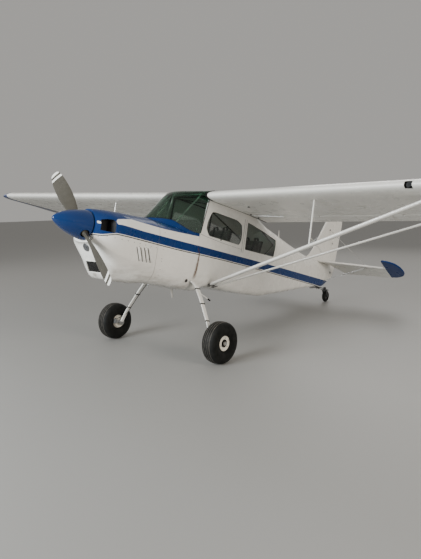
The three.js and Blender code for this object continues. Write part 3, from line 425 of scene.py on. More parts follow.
def fuselageScheme(finish, white, aft, up):
    lines = ("deckEdge", "stripeTop", "stripeFoot")
    deckLine, topLine, foot = [finish.lineThrough(aft, scheme[line]) for line in lines]
    # the white band runs between the two lines, and ends in a round nose behind the side inlet
    behind = aft - scheme["bandStart"]
    closed = behind.ramp(0, scheme["bandRound"], scheme["bandRound"], 0)
    inBand = finish.math("MINIMUM", deckLine - closed - up, up - (topLine + closed))
    outsideBand = finish.math("MINIMUM", inBand, behind).ramp(-paintEdge, paintEdge, 1, 0)
    stripe = (up - foot).ramp(-paintEdge, paintEdge) * outsideBand
    halfLine = scheme["lineWide"] / 2
    line = finish.math("COMPARE", foot - up, scheme["lineGap"] + halfLine, halfLine)
    return finish.mix(line, finish.mix(stripe, white, palette["blue"]), palette["pinstripe"])


# The oil stain behind the boot cowl's rear edge, as (up, aft) and (up, half width) in metres
stain = {
    "middle": [(-0.60, 1.690), (-0.40, 1.704), (-0.327, 1.724), (-0.154, 1.747), (-0.039, 1.752), (0.051, 1.703),
               (0.2, 1.70)],
    "wide": [(-0.60, 0.060), (-0.40, 0.046), (-0.327, 0.038), (-0.154, 0.026), (-0.039, 0.016), (0.051, 0.008),
             (0.2, 0.005)],
    # The last entry sets how far the belly darkens: partly dirt, partly painted shade of the underside.
    "top": (0.06, 0.02), "foot": (-0.42, -0.34), "strength": 0.9, "bellyDirtAndShade": 0.75,
}


def fuselagePaint(name, slot, fabric):
    finish = Finish(name, slot, 0.27, Coat_Weight=0.08, Specular_IOR_Level=dopedGloss)
    aft, up = finish.level()[1:]
    shade = fuselageScheme(finish, finish.drifting(palette["white"], 0.95, 1.3), aft, up)
    # Darker towards the belly: streaky dirt, and painted shade where the lower fuselage turns under, away from
    # the light.
    lowDirtAndShade = finish.noise(9, 6, 0.65, stretch=(1, 0.25, 1)).ramp(0.40, 0.72) * up.ramp(-0.28, -0.58)
    shade = finish.mix(lowDirtAndShade * stain["bellyDirtAndShade"], shade, palette["grimeAndShade"])
    away = abs(aft - finish.lineThrough(up, stain["middle"])) / finish.lineThrough(up, stain["wide"])
    streaks = finish.noise(46, 5, 0.7, stretch=(1, 1, 0.35)).ramp(0.30, 0.55)
    run = finish.math("MAXIMUM", away.ramp(1.0, 0.5) * streaks, away.ramp(0.42, 0.22))
    run = run * up.ramp(*stain["top"]) * up.ramp(*stain["foot"]) * stain["strength"]
    finish.set(Base_Color=soiled(finish, finish.mix(run, shade, palette["oil"]), 0.16))
    finish.rough(6, 0.2, 0.36)
    if fabric:
        finish.raised(finish.wave("Z", 170.0), 0.05, 0.0006)
        finish.grain(5, 0.12, 0.02)
    else:
        finish.grain(120, 0.06, 0.002)
    return finish


ribs = {"first": 381, "pitch": 298, "tape": 46, "sag": 3.2}


# Doped fabric; ribbed on the wings, and blue beyond the ends of the stabiliser where blueFrom is given
def wingFabric(name, blueFrom=None, ribbed=True):
    finish = Finish(name, "doped_fabric", 0.3, Coat_Weight=0.1, Specular_IOR_Level=dopedGloss)
    shade = finish.drifting(palette["white"], 0.94, 1.1)
    outboard = abs(finish.level()[0])
    if blueFrom:
        shade = finish.mix(outboard.ramp(blueFrom - paintEdge, blueFrom + paintEdge), shade, palette["blue"])
    finish.set(Base_Color=soiled(finish, shade, 0.05))
    finish.grain(210, 0.06, 0.001)
    finish.rough(5, 0.22, 0.42)
    if ribbed:
        # rib tapes, each a slightly raised band
        ribAway = abs(finish.math("FRACT", (outboard - ribs["first"] / 1000) / (ribs["pitch"] / 1000)) - 0.5)
        tapeEdge = 0.5 - ribs["tape"] / ribs["pitch"] / 2
        finish.raised(ribAway.ramp(tapeEdge, tapeEdge + 0.006), 0.35, 0.0016)
    else:
        finish.grain(4, 0.12, 0.02)
    return finish


def metalFinish(name, colour, roughness=0.35, worn=0.3):
    finish = Finish(name, "bare_steel", roughness, Metallic=1.0)
    worn = finish.noise(18, 5, 0.65).ramp(0.45, 0.75) * worn
    finish.set(Base_Color=finish.mix(worn, colour, dimmed(colour, 0.35)))
    finish.rough(30, roughness * 0.8, roughness * 1.6, end=0.75)
    finish.grain(260, 0.1, 0.001)
    return finish


def mattFinish(name, slot, colour, roughness=0.7, grain=160, depth=0.0015, dusty=0.25):
    finish = Finish(name, slot, roughness)
    dusty = finish.noise(11, 5, 0.6).ramp(0.45, 0.8) * dusty
    finish.set(Base_Color=finish.mix(dusty, colour, palette["dust"]))
    finish.rough(14, roughness * 0.85, min(1.0, roughness * 1.25))
    finish.grain(grain, 0.35, depth, 3)
    return finish


# Rubber; a main tyre's grooves, given by their distance from the aircraft's middle, hold a little dust
def rubberFinish(name, grooves=()):
    finish = Finish(name, "tyre_rubber", 0.72, Specular_IOR_Level=0.25)
    dusty = finish.noise(14, 6, 0.7).ramp(0.42, 0.75) * 0.035
    colour = finish.mix(dusty, palette["rubber"], palette["dust"])
    outboard = abs(finish.level()[0])
    for groove in grooves:
        near = abs(outboard - groove).ramp(0.0044, 0.0030)
        colour = finish.mix(near * finish.noise(22, 4).ramp(0.25, 0.6, 0.25, 0.8), colour, palette["dust"])
    finish.set(Base_Color=colour)
    finish.rough(20, 0.55, 0.85)
    finish.grain(420, 0.3, 0.0012, 3)
    return finish


def tintedPane(name, slot, colour, through=1.0, roughness=0.03, clearer=None):
    finish = Finish(name, slot, roughness, Transmission_Weight=through, IOR=1.32)
    if clearer:
        rising = finish.level()[2].ramp(clearer["low"], clearer["high"])
        colour = finish.mix(rising, clearer["colour"], colour)
    finish.set(Base_Color=colour)
    finish.rough(9, roughness, roughness + 0.08, 5, 0.35, 0.85)
    return finish


def seatCloth(name, colour):
    finish = Finish(name, "seat_cloth", 0.85, Sheen_Weight=0.35)
    weave = finish.wave("X", 150.0, 0.6) * finish.wave("Z", 150.0, 0.6)
    finish.set(Base_Color=finish.mix(weave, dimmed(colour, 0.7), colour))
    finish.raised(weave, 0.4, 0.0015)
    return finish


def bladePaint():
    finish = Finish("blade_paint", "blade_paint", 0.42, Coat_Weight=0.15)
    left, up = finish.level()[::2]
    out = finish.math("SQRT", left * left + up * up)
    bands = [out.ramp(low - 0.0008, low + 0.0008) * out.ramp(high + 0.0008, high - 0.0008)
             for low, high in ((0.866, 0.904), (0.941, 1.2))]
    grey = finish.drifting(palette["bladeGrey"], 0.82, 9, 5, 0.35)
    paint = finish.mix(finish.math("MAXIMUM", *bands), grey, palette["white"])
    nicks = finish.noise(90, 4, 0.8).ramp(0.66, 0.7) * 0.5
    finish.set(Base_Color=finish.mix(nicks, paint, palette["steel"]))
    finish.rough(25, 0.34, 0.55)
    finish.grain(200, 0.08, 0.001)
    return finish


cowlPaint = fuselagePaint("cowl_paint", "white_paint", False)
fabricPaint = fuselagePaint("fabric_paint", "doped_fabric", True)
wingWhite = wingFabric("wing_fabric")
tailFabric = wingFabric("tail_fabric", 1.272, False)
finFabric = wingFabric("fin_fabric", None, False)
bluePaint = plainPaint("blue_gloss", "blue_paint", palette["blue"], 0.05, 0.22, 0.25)
whitePaint = plainPaint("white_gloss", "white_paint", palette["white"], 0.22)
legPaint = plainPaint("leg_paint", "leg_paint", palette["white"], 0.35, 0.42, 0.2)
creamPaint = plainPaint("cream_paint", "wheel_paint", palette["cream"], 0.45, 0.4, 0.2)
bladeGrey = bladePaint()
steel = metalFinish("bare_steel", palette["steel"], 0.34)
brightSteel = metalFinish("polished_steel", (0.66, 0.66, 0.65), 0.2, worn=0.12)
darkSteel = metalFinish("weathered_steel", (0.20, 0.19, 0.18), 0.45)
blackSteel = plainPaint("black_steel", "black_steel", (0.03, 0.03, 0.031), 0.3, 0.5, 0.1)
engineMetal = mattFinish("engine_metal", "bare_steel", (0.085, 0.085, 0.08), 0.6)
panelBlack = mattFinish("panel_black", "panel_black", (0.022, 0.022, 0.023), 0.65, 260, 0.0008, 0.12)
headliner = mattFinish("headliner", "doped_fabric", (0.07, 0.07, 0.067), 0.9, 300, 0.001, 0.2)
cowlInside = mattFinish("cowl_inside", "panel_black", (0.06, 0.06, 0.058), 0.6)
# Black, for dark parts, and also as painted shadow at the louvres' feet and painted shade in the wheels'
# recesses.
blackAndShadow = mattFinish("black_and_painted_shadow", "panel_black", (0.012, 0.012, 0.012), 0.8, 120, 0.001, 0.1)
dialWhite = mattFinish("dial_white", "white_paint", (0.7, 0.7, 0.66), 0.6, 300, 0.0004, 0.1)
rimGrey = plainPaint("rim_grey", "panel_black", (0.10, 0.10, 0.105), 0.3, 0.45, 0.1)
ventGrey = plainPaint("vent_grey", "panel_black", (0.07, 0.072, 0.075), 0.3, 0.45, 0.2)
braceCream = plainPaint("brace_cream", "black_steel", (0.95, 0.93, 0.86), 0.02, 0.4, 0.1)
lampGlass = plainPaint("lamp_glass", "bare_steel", (0.012, 0.013, 0.014), 0.1, 0.7, 0.0)
tyreRubber = rubberFinish("tyre_rubber")
mainTyreRubber = rubberFinish("main_tyre_rubber", (1.013, 1.045, 1.077, 1.109))
blackRubber = rubberFinish("seal_rubber")
greenTint = tintedPane("green_tint", "green_tint", (0.15, 0.28, 0.21),
                       clearer={"low": 0.60, "high": 0.76, "colour": (0.33, 0.44, 0.38)})
smokeTint = tintedPane("smoke_tint", "smoke_tint", (0.78, 0.80, 0.78))
redLens = tintedPane("red_lens", "green_tint", (0.75, 0.03, 0.02), 0.6, 0.08)
greenLens = tintedPane("green_lens", "green_tint", (0.02, 0.55, 0.16), 0.6, 0.08)
seatWeave = seatCloth("seat_cloth", (0.13, 0.125, 0.12))
beltWeave = seatCloth("belt_webbing", (0.05, 0.05, 0.055))
print("finishes made")


# Fuselage

# The columns are those of the solids: aft, crown, shoulder, half, chine, belly, flat, top, low
noseRows = [
    [76, 206, -10, 204, -118, -203, 60, 2.0, 2.0],
    [130, 218, -8, 262, -185, -214, 150, 2.0, 1.5],
    [210, 230, -3, 312, -236, -336, 152, 2.1, 1.3],
    [290, 240, 2, 342, -264, -466, 146, 2.2, 1.25],
    [356, 247, 6, 357, -280, -574, 140, 2.2, 1.3],
    [430, 253, 10, 368, -294, -608, 136, 2.3, 1.35],
    [720, 272, 25, 385, -330, -606, 150, 2.3, 1.7],
    [950, 290, 45, 389, -340, -574, 200, 2.4, 2.0],
    [1400, 290, 90, 392, -345, -568, 210, 2.6, 2.2],
    [1712, 262, 120, 393, -345, -576, 220, 3.0, 2.2],
]
cabinRows = [
    [1712, 860, 560, 393, -345, -576, 220, 6.0, 2.2],
    [1870, 899, 560, 395, -350, -560, 220, 6.0, 2.2],
    [2010, 925, 560, 397, -372, -476, 290, 6.0, 2.2],
    [2300, 938, 560, 398, -372, -476, 300, 6.0, 2.2],
    [2750, 905, 540, 398, -372, -476, 300, 5.0, 2.2],
    [3220, 775, 440, 376, -354, -466, 284, 3.6, 2.2],
    [3430, 738, 380, 360, -342, -456, 268, 3.0, 2.2],
    [3750, 704, 320, 334, -306, -394, 244, 2.5, 2.2],
    [4400, 600, 260, 266, -190, -266, 190, 2.4, 2.2],
    [5200, 500, 210, 172, -46, -106, 120, 2.4, 2.2],
    [5600, 492, 220, 124, 14, -40, 84, 2.6, 2.2],
    [5900, 492, 260, 88, 66, 0, 56, 3.0, 2.2],
    [6204, 492, 320, 42, 216, 140, 22, 4.0, 2.2],
]
fuselage = {
    "around": 15, "alongStep": 48, "noseStep": 24, "wall": 24, "cowlSkin": 7, "split": -45, "chine": -352,
    "join": 0.4,
}


# A smooth curve through a table's rows that never swings past them
def through(table, at):
    table = np.array(table, float)
    xs, ys = table[:, 0], table[:, 1:]
    at = float(np.clip(at, xs[0], xs[-1]))
    slope = np.diff(ys, axis=0) / np.diff(xs)[:, None]
    bend = np.zeros_like(ys)
    bend[0], bend[-1] = slope[0], slope[-1]
    before, after = slope[:-1], slope[1:]
    same = before * after > 0
    bend[1:-1] = np.where(same, 2 * before * after / np.where(same, before + after, 1), 0)
    i = int(np.clip(np.searchsorted(xs, at) - 1, 0, len(xs) - 2))
    h = xs[i + 1] - xs[i]
    t = (at - xs[i]) / h
    return ((2 * t**3 - 3 * t**2 + 1) * ys[i] + (t**3 - 2 * t**2 + t) * h * bend[i]
            + (3 * t**2 - 2 * t**3) * ys[i + 1] + (t**3 - t**2) * h * bend[i + 1])


def sectionRing(rows, aft, inset=0, steps=fuselage["around"]):
    crown, shoulder, half, chine, belly, flat, top, low = through(rows, aft)
    half, crown, belly = half - inset, crown - inset, belly + inset
    side = [(0, belly)]
    for i in range(steps + 1):
        turn = pi / 2 * (1 - i / steps)
        side.append((flat + (half - flat) * cos(turn) ** (2 / low),
                     chine + (belly - chine) * sin(turn) ** (2 / low)))
    for i in range(1, steps + 1):
        turn = pi / 2 * i / steps
        side.append((half * max(cos(turn), 0) ** (2 / top),
                     shoulder + (crown - shoulder) * sin(turn) ** (2 / top)))
    side[-1] = (0, crown)
    return [(x, aft, z) for x, z in side] + [(-x, aft, z) for x, z in side[-2:0:-1]]


def bodySolid(rows, inset, front, rear, step=fuselage["alongStep"]):
    stops = sorted({front, rear, *(row[0] for row in rows if front < row[0] < rear)})
    places = []
    for a, b in zip(stops, stops[1:]):
        count = max(1, round((b - a) / step))
        places += [a + (b - a) * k / count for k in range(count)]
    return loft([sectionRing(rows, y, inset) for y in places + [rear]])


# What lies between two body solids, each given as inset, front and rear
def bodyShell(rows, outer, inner, step=fuselage["alongStep"]):
    return carve(bodySolid(rows, *outer, step), bodySolid(rows, *inner, step))


# Where the skin stands at a height, and which way it faces
def onSkin(rows, aft, up, side=1, proud=0.0):
    def reach(y, z):
        half = [p for p in sectionRing(rows, y, steps=40) if p[0] >= -1e-6][:83]
        for (x0, _, z0), (x1, _, z1) in zip(half, half[1:]):
            if (z0 - z) * (z1 - z) <= 0 and z0 != z1 and max(x0, x1) > 20:
                return x0 + (x1 - x0) * (z - z0) / (z1 - z0)
        return 0.0
    slopes = [(reach(aft + y, up + z) - reach(aft - y, up - z)) / 12 for y, z in ((6, 0), (0, 6))]
    facing = Vector((1, -slopes[0], -slopes[1])).normalized()
    spot = Vector((reach(aft, up), aft, up)) + facing * proud
    return Vector((side * spot.x, spot.y, spot.z)), Vector((side * facing.x, facing.y, facing.z))


def above(up):
    return boxOf((-far, far), (-far, far), (up, far))


def below(up):
    return boxOf((-far, far), (-far, far), (-far, up))


def between(front, rear):
    return boxOf((-far, far), (front, rear), (-far, far))


legStations = [
    # x, up, wide, thick
    [150, -398, 92, 26], [330, -418, 90, 25], [458, -470, 86, 24], [588, -626, 78, 22], [716, -820, 68, 20],
    [856, -1060, 58, 18], [900, -1172, 56, 18],
]
leg = {"topAft": 1692, "wheelAft": 1664, "straightTo": 330, "run": 570, "steps": 4, "around": 20, "room": 1.0}


def legAft(x):
    return leg["topAft"] + (leg["wheelAft"] - leg["topAft"]) * clamped((x - leg["straightTo"]) / leg["run"])


def legSolid(side, grow=0.0):
    xs = [a[0] + (b[0] - a[0]) * k / leg["steps"]
          for a, b in zip(legStations, legStations[1:]) for k in range(leg["steps"])] + [legStations[-1][0]]
    middles = [(x, *through(legStations, x)) for x in xs]
    rings = []
    for i, (x, up, wide, thick) in enumerate(middles):
        slope = wayAlong([Vector(middle[:2]) for middle in middles], i)
        ring = []
        for c, s in roundAbout(leg["around"]):
            across = (wide / 2 + grow) * copysign(abs(c) ** 0.45, c)
            over = (thick / 2 + grow) * copysign(abs(s) ** 0.8, s)
            ring.append((side * (x - slope.y * over), legAft(x) + across, up + slope.x * over))
        rings.append(ring)
    return loft(rings)


legRooms = [legSolid(side, leg["room"]) for _, side in bothSides]

openings = {
    "mouth": 106, "inletDeep": 216, "chin": ((-118, 118), (0, 440), (-532, -410)),
    "outlet": ((-190, 190), (860, 1000), (-640, -520)), "dash": ((-352, 352), (1490, 1800), (0, 400)),
}
inletOutline = [(119, -40), (119, 84), (135, 90), (160, 98), (189, 107), (245, 112), (268, 106), (279, 95),
                (284, 60), (283, -17), (280, -36), (268, -44), (240, -44)]
cowlShell = carve(
    bodyShell(noseRows, (0, 76, 949.6), (fuselage["cowlSkin"], 130, 960), fuselage["noseStep"]),
    rod((0, 0, 0), (0, 160, 0), openings["mouth"], 64),
    sidePrism(inletOutline, openings["inletDeep"], 420),
    sidePrism(inletOutline, -420, -openings["inletDeep"]),
    boxOf(*openings["chin"]), boxOf(*openings["outlet"]),
)
cowlLining = {"axis": -60, "finish": cowlInside}
place(kept(cowlShell, above(fuselage["split"] + 0.2)), "cowl_upper_skin", cowlPaint, ["cowl_upper"],
      slot="blue_paint", inside=cowlLining)
place(kept(cowlShell, below(fuselage["split"] - 0.2)), "cowl_lower_skin", cowlPaint, ["cowl_lower"],
      inside=cowlLining)
boot = carve(bodyShell(noseRows, (0, 954.4, 1711.6), (14, 930, 1740)), boxOf(*openings["dash"]), *legRooms)
place(boot, "boot_cowl_skin", cowlPaint, ["boot_cowl"], inside={"axis": 0, "finish": headliner})

# Outlines seen from the side, as (aft, up)
roofLine = [(1600, 702), (3220, 690), (3800, 596), (3800, 1200), (1600, 1200)]
postLine = [(1600, 250), (1712, 250), (1800, 800), (1806, 1200), (1600, 1200)]
frontWindow = [(1892, 247), (1816, 340), (1824, 440), (1886, 586), (1935, 603), (2470, 603), (2600, 562),
               (2640, 440), (2643, 330), (2606, 246)]
doorWindow = [(1902, 247), (1870, 300), (1874, 480), (1900, 590), (1935, 603)] + frontWindow[5:]
rearWindow = [(2766, 204), (2748, 628), (3684, 530), (3650, 236)]
doorCorners = [(1808, -330), (1812, 662), (2690, 646), (2690, 0), (2060, -330)]
windows = [
    # name, node, outline, corner radius, side, body
    ("left_front", "window_left_front", frontWindow, 30, 1, "airframe"),
    ("left_rear", "window_left_rear", rearWindow, 24, 1, "airframe"),
    ("right_rear", "window_right_rear", rearWindow, 24, -1, "airframe"),
    ("door", "door_window", doorWindow, 30, -1, "door"),
]


# An outline moved inwards to its middle
def shrunk(corners, by):
    middle = [sum(c[k] for c in corners) / len(corners) for k in (0, 1)]
    return [tuple(c[k] - copysign(by, c[k] - middle[k]) for k in (0, 1)) for c in corners]


def windowPrism(corners, radius, side, inset=0.0, reach=(200, 500)):
    return sidePrism(roundedOutline(shrunk(corners, inset), radius), side * reach[0], side * reach[1])


cabinLining = {"axis": 120, "finish": headliner}
cabinShell = bodyShell(cabinRows, (0, 1712.4, 3749.6), (fuselage["wall"], 1690, 3770))
for name, side in bothSides:
    reach = tuple(sorted((side * fuselage["join"], side * far)))
    upperHalf = boxOf(reach, (0, far), (fuselage["chine"] + fuselage["join"], far))
    panel = carve(kept(cabinShell, upperHalf), sidePrism(roofLine, -far, far), sidePrism(postLine, -far, far),
                  windowPrism(rearWindow, 24, side))
    if side > 0:
        panel = carve(panel, windowPrism(frontWindow, 30, side))
    else:
        panel = carve(panel, sidePrism(shrunk(doorCorners, 6), -200, -500))
    place(panel, f"cabin_side_{name}_skin", fabricPaint, [f"cabin_side_{name}"], inside=cabinLining)
place(carve(kept(cabinShell, below(fuselage["chine"])), *legRooms), "cabin_floor_skin", fabricPaint,
      ["cabin_floor"], inside=cabinLining)

skylight = {"front": 1800.4, "rear": 2660, "half": 300, "thick": 6, "up": (780, 1200)}
roofRoom = sidePrism([(a, u + (fuselage["join"] if u < 1000 else 0)) for a, u in roofLine], -far, far)
skylightRoom = between(skylight["front"], skylight["rear"])
place(kept(cabinShell, roofRoom, between(skylight["rear"] + fuselage["join"], 3750)), "cabin_roof_skin",
      fabricPaint, ["cabin_roof"], inside=cabinLining)
roofFront = kept(cabinShell, roofRoom, skylightRoom)
skylightPane = kept(bodyShell(cabinRows, (0, 1712.4, 2700), (skylight["thick"], 1690, 2720)), roofRoom,
                    skylightRoom, boxOf((-skylight["half"], skylight["half"]), (1700, 2700), skylight["up"]))
place(skylightPane, "skylight_pane", greenTint, ["skylight"])
half = skylight["half"] + fuselage["join"]
rails = carve(roofFront, boxOf((-half, half), (1700, 2640), skylight["up"]))
place(rails, "roof_rails", fabricPaint, ["skylight"], inside=cabinLining)

doorShell = kept(bodyShell(cabinRows, (0, 1712, 2800), (fuselage["wall"], 1690, 2850)),
                 sidePrism(doorCorners, -200, -500))
place(carve(doorShell, windowPrism(doorWindow, 30, -1)), "door_skin", fabricPaint, ["door"], "door",
      inside=cabinLining)
paneSheet = bodyShell(cabinRows, (8, 1730, 3740), (14, 1710, 3760))
for name, node, corners, radius, side, body in windows:
    place(kept(paneSheet, windowPrism(corners, radius, side, 0.4)), f"{node}_pane", smokeTint, [node], body)

tailCone = bodySolid(cabinRows, 0, 3750.4, 6204, 60)
place(tailCone, "tail_cone_skin", fabricPaint, ["tail_cone"])
print("fuselage made")

# Windscreen
screenRows = [
    # row, half width, aft at post and in front, height at post and in front, how pointed in front
    [0, 388, 1706, 985, 150, 262, 1.5], [1, 388, 1708, 1010, 243, 294, 1.5],
    [2, 380, 1744, 1200, 480, 518, 1.45], [3, 370, 1776, 1388, 690, 726, 1.3],
    [4, 364, 1790, 1490, 790, 794, 1.2], [5, 360, 1800, 1652, 852, 846, 1], [6, 356, 1800, 1800, 876, 880, 1],
]
# (aft, up) of the upper edge of the painted fairing over the glass's foot
footEdge = [[940, 300], [985, 303], [1052, 318], [1126, 330], [1192, 334], [1273, 335], [1331, 314], [1389, 291],
            [1523, 249], [1613, 238], [1712, 240]]
screen = {"columns": 48, "fine": 5, "thick": 7.5, "foot": {"thick": 1.4, "proud": 1.7}, "seal": 3.2}


def onScreen(row, column):
    half, postAft, frontAft, postUp, frontUp, pointed = through(screenRows, row)
    turn = pi * (column / screen["columns"] - 0.5)
    front = max(cos(turn), 0) ** pointed
    return Vector((-half * sin(turn), postAft + (frontAft - postAft) * front,
                   postUp + (frontUp - postUp) * front))


def screenSheet(thick=screen["thick"], proud=0.0):
    middle = Vector((0, 1700, 300))
    rings = []
    for column in range(screen["columns"] + 1):
        steps = (len(screenRows) - 1) * screen["fine"] + 1
        rows = [onScreen(k / screen["fine"], column) for k in range(steps)]
        outside = [p - (middle - p).normalized() * proud for p in rows]
        rings.append(outside + [p + (middle - p).normalized() * thick for p in reversed(outside)])
    behindPost = [(1711.6, -400), (1711.6, 250), (1799.6, 800), (1799.6, 1200), (2500, 1200), (2500, -400)]
    return carve(loft(rings), bodySolid(noseRows, -0.4, 950, 1720), sidePrism(behindPost, -far, far))


place(screenSheet(), "windscreen_pane", greenTint, ["windscreen"], sharp=40)
footStrip = sidePrism([(940, 100), (1711, 100), *[tuple(row) for row in reversed(footEdge)]], -far, far)
place(kept(screenSheet(**screen["foot"]), footStrip), "windscreen_foot_strip", cowlPaint, slot="blue_paint",
      sharp=40)
print("windscreen made")

# Wings
wing = {
    "rootX": 375, "rootAft": 1703, "rootUp": 793, "inner": 381, "outer": 5150, "chord": 1525,
    "incidence": radians(2.08), "dihedral": radians(1.27), "camber": 0.04, "camberAt": 0.4, "thickness": 0.12,
    "hinge": 0.8, "stations": 96, "lightBay": ((3168, 3252), (1600, 1770), (818, 893)),
}
flap = (480, 2560)
aileron = (2590, 5090)
tipSections = [
    # x, share of the chord, moved aft, share of the thickness
    [5150.4, 1, 0, 1], [5220, 0.997, 3, 0.98], [5290, 0.985, 12, 0.92], [5350, 0.962, 28, 0.86],
    [5400, 0.93, 52, 0.78], [5440, 0.888, 85, 0.68], [5475, 0.83, 128, 0.55], [5496, 0.76, 183, 0.38],
    [5510, 0.66, 262, 0.2],
]


# Half the thickness of an aerofoil at a share of its chord; last says how blunt its tail is
def foilHalf(share, last):
    return (0.2969 * sqrt(max(share, 0)) - 0.126 * share - 0.3516 * share**2 + 0.2843 * share**3
            - last * share**4)


# Heights of upper face, lower face and middle line over the chord line, and half the thickness
def wingHeights(share):
    half = 5 * wing["thickness"] * foilHalf(share, 0.1015)
    p = wing["camberAt"]
    if share < p:
        bend = wing["camber"] / p**2 * (2 * p * share - share**2)
    else:
        bend = wing["camber"] / (1 - p)**2 * (1 - 2 * p + 2 * p * share - share**2)
    return [height * wing["chord"] for height in (bend + half, bend - half, bend, half)]


def wingPoint(side, x, share, height, chord=wing["chord"], shift=0.0):
    c, s = cos(wing["incidence"]), sin(wing["incidence"])
    rise = (x - wing["rootX"]) * tan(wing["dihedral"])
    return Vector((side * x, wing["rootAft"] + shift + share * chord * c + height * s,
                   wing["rootUp"] + rise - share * chord * s + height * c - shift * s))


def wingRing(side, x, scale=1.0, shift=0.0, thin=1.0, sag=0.0, steps=26):
    shares = [(1 - cos(pi * k / steps)) / 2 for k in range(steps + 1)]
    ring = []
    for share, lower in [(s, 0) for s in reversed(shares)] + [(s, 1) for s in shares[1:]]:
        covered = clamped((share - 0.17) / 0.1) * clamped((1 - share) / 0.15)
        height = wingHeights(share)[lower] - sag * covered * (-1 if lower else 1)
        ring.append(wingPoint(side, x, share, height * scale * thin, wing["chord"] * scale, shift))
    return ring


noseRadius = wingHeights(wing["hinge"])[3] - 1.5


def bay(side, span):
    start = wing["hinge"] - (noseRadius + 7) / wing["chord"]
    corners = ((start, -150), (1.1, -150), (1.1, 220), (start, 220))
    return loft([[wingPoint(side, x, *corner) for corner in corners] for x in (span[0] - 6, span[1] + 6)])


def hingeBrackets(side, span):
    shapes = []
    for share in (0.06, 0.5, 0.94):
        x = span[0] + (span[1] - span[0]) * share
        pin = wingPoint(side, x, wing["hinge"], wingHeights(wing["hinge"])[2])
        arm = boxOf((pin.x - 5, pin.x + 5), (pin.y - noseRadius - 34, pin.y + 6), (pin.z - 6, pin.z + 6))
        shapes += [arm, rod(pin - toLeft * 15, pin + toLeft * 15, 4, 12)]
    return joined(*shapes)


rootSeal = {"proud": 3.0, "from": 384, "to": 401, "nose": 7.0, "noseTo": 412}


def rootBand(side, to, proud):
    rings = []
    for x in (rootSeal["from"], to):
        ring = wingRing(side, x, steps=40)
        middle = sum(ring, Vector()) / len(ring)
        rings.append([p + Vector((0, (p.y - middle.y) * proud / 760, copysign(proud, p.z - middle.z)))
                      for p in ring])
    return loft(rings)


fuselageRoom = bodySolid(cabinRows, -0.4, 1700, 3760)
for name, side in bothSides:
    rings = []
    for k in range(wing["stations"] + 1):
        x = wing["inner"] + (wing["outer"] - wing["inner"]) * k / wing["stations"]
        bayShare = ((x - ribs["first"]) / ribs["pitch"]) % 1
        rings.append(wingRing(side, x, sag=ribs["sag"] * sin(pi * bayShare) ** 1.4))
    panel = carve(loft(rings), bay(side, flap), bay(side, aileron), fuselageRoom,
                  boxOf((-384, 384), (1600, 1840), (600, 1000)))
    seal = carve(rootBand(side, rootSeal["to"], rootSeal["proud"]), bay(side, flap))
    place(seal, f"wing_root_seal_{name}", blackRubber, sharp=50)
    # A black rubber band round the root of the leading edge, which also serves as painted shadow under the wing
    # root's leading edge.
    noseSealAndShadow = kept(rootBand(side, rootSeal["noseTo"], rootSeal["nose"]), between(1600, 1850))
    place(noseSealAndShadow, f"wing_nose_seal_and_shadow_{name}", blackRubber, sharp=50)
    if side > 0:
        panel = carve(panel, boxOf(*wing["lightBay"]))
    place(panel, f"wing_{name}_skin", wingWhite, [f"wing_{name}"], sharp=40)
    place(joined(hingeBrackets(side, flap), hingeBrackets(side, aileron)), f"wing_hinges_{name}", steel)
    place(loft([wingRing(side, *section) for section in tipSections]), f"wing_tip_{name}_skin", bluePaint,
          [f"wing_tip_{name}"], sharp=50)
print("wings made")

# Propeller
propeller = {"lean": radians(48.4), "shank": 92.4, "step": 14, "around": 28}
bladeRows = [
    # out from the hub, chord, thickness, pitch
    [92.4, 84, 78, 58], [150, 86, 74, 55], [235, 122, 46, 48], [360, 160, 30, 38], [480, 186, 24, 32],
    [600, 196, 18, 27], [760, 188, 13, 22], [880, 162, 9.5, 18.5], [945, 130, 7.5, 17], [968, 102, 6.2, 16.6],
    [978, 78, 5.6, 16.2], [982.5, 54, 5, 16], [984, 28, 4, 16],
]


def bladePoint(out, across, forward):
    c, s = cos(propeller["lean"]), -sin(propeller["lean"])
    return Vector((out * s + across * c, -forward, out * c - across * s))


def bladeSolid(way):
    tip = {950, 958, 965, 971, 976, 980, 982.5, 984}
    rings = []
    for out in sorted({*(propeller["shank"] + propeller["step"] * k for k in range(62)), *tip}):
        chord, thick, pitch = through(bladeRows, out)
        twist = radians(pitch)
        flat = clamped((out - 150) / 200)  # the shank is round and the blade has a flat back
        ring = []
        for c, s in roundAbout(propeller["around"]):
            across = chord / 2 * c
            deep = thick / 2 * s * (1 - 0.35 * flat * (s < 0)) * (1 + 0.12 * flat * c)
            ring.append(bladePoint(way * out, way * (across * cos(twist) - deep * sin(twist)),
                                   -(across * sin(twist) + deep * cos(twist))))
        rings.append(ring)
    return loft(rings)


for name, way in (("upper", 1), ("lower", -1)):
    place(bladeSolid(way), f"blade_{name}_skin", bladeGrey, [f"blade_{name}"], "propeller", sharp=60)

spinner = {"tip": -389, "long": 449, "wall": 5, "slot": 56}
# share of the length, radius
spinnerRows = [[0, 0], [0.006, 12], [0.02, 22], [0.045, 34], [0.1, 53], [0.17, 72], [0.33, 108], [0.55, 143],
               [0.8, 171], [0.93, 182], [1, 186]]


def spinnerLine(shares, wall):
    return [(float(through(spinnerRows, s)[0]) - wall, spinner["tip"] + s * spinner["long"]) for s in shares]


profile = (spinnerLine([0, 0.006, 0.015, *np.linspace(0.03, 1, 34)], 0)
           + spinnerLine(np.linspace(1, 0.3, 12), spinner["wall"]) + [(0.0, spinner["tip"] + 60)])
slots = [rod((0, 0, 0), bladePoint(way * 260, 0, 0), spinner["slot"], 48) for way in (1, -1)]
place(carve(turned(profile, sides=96), *slots), "spinner_shell", bluePaint, ["spinner"], "propeller", sharp=30)
print("propeller made")

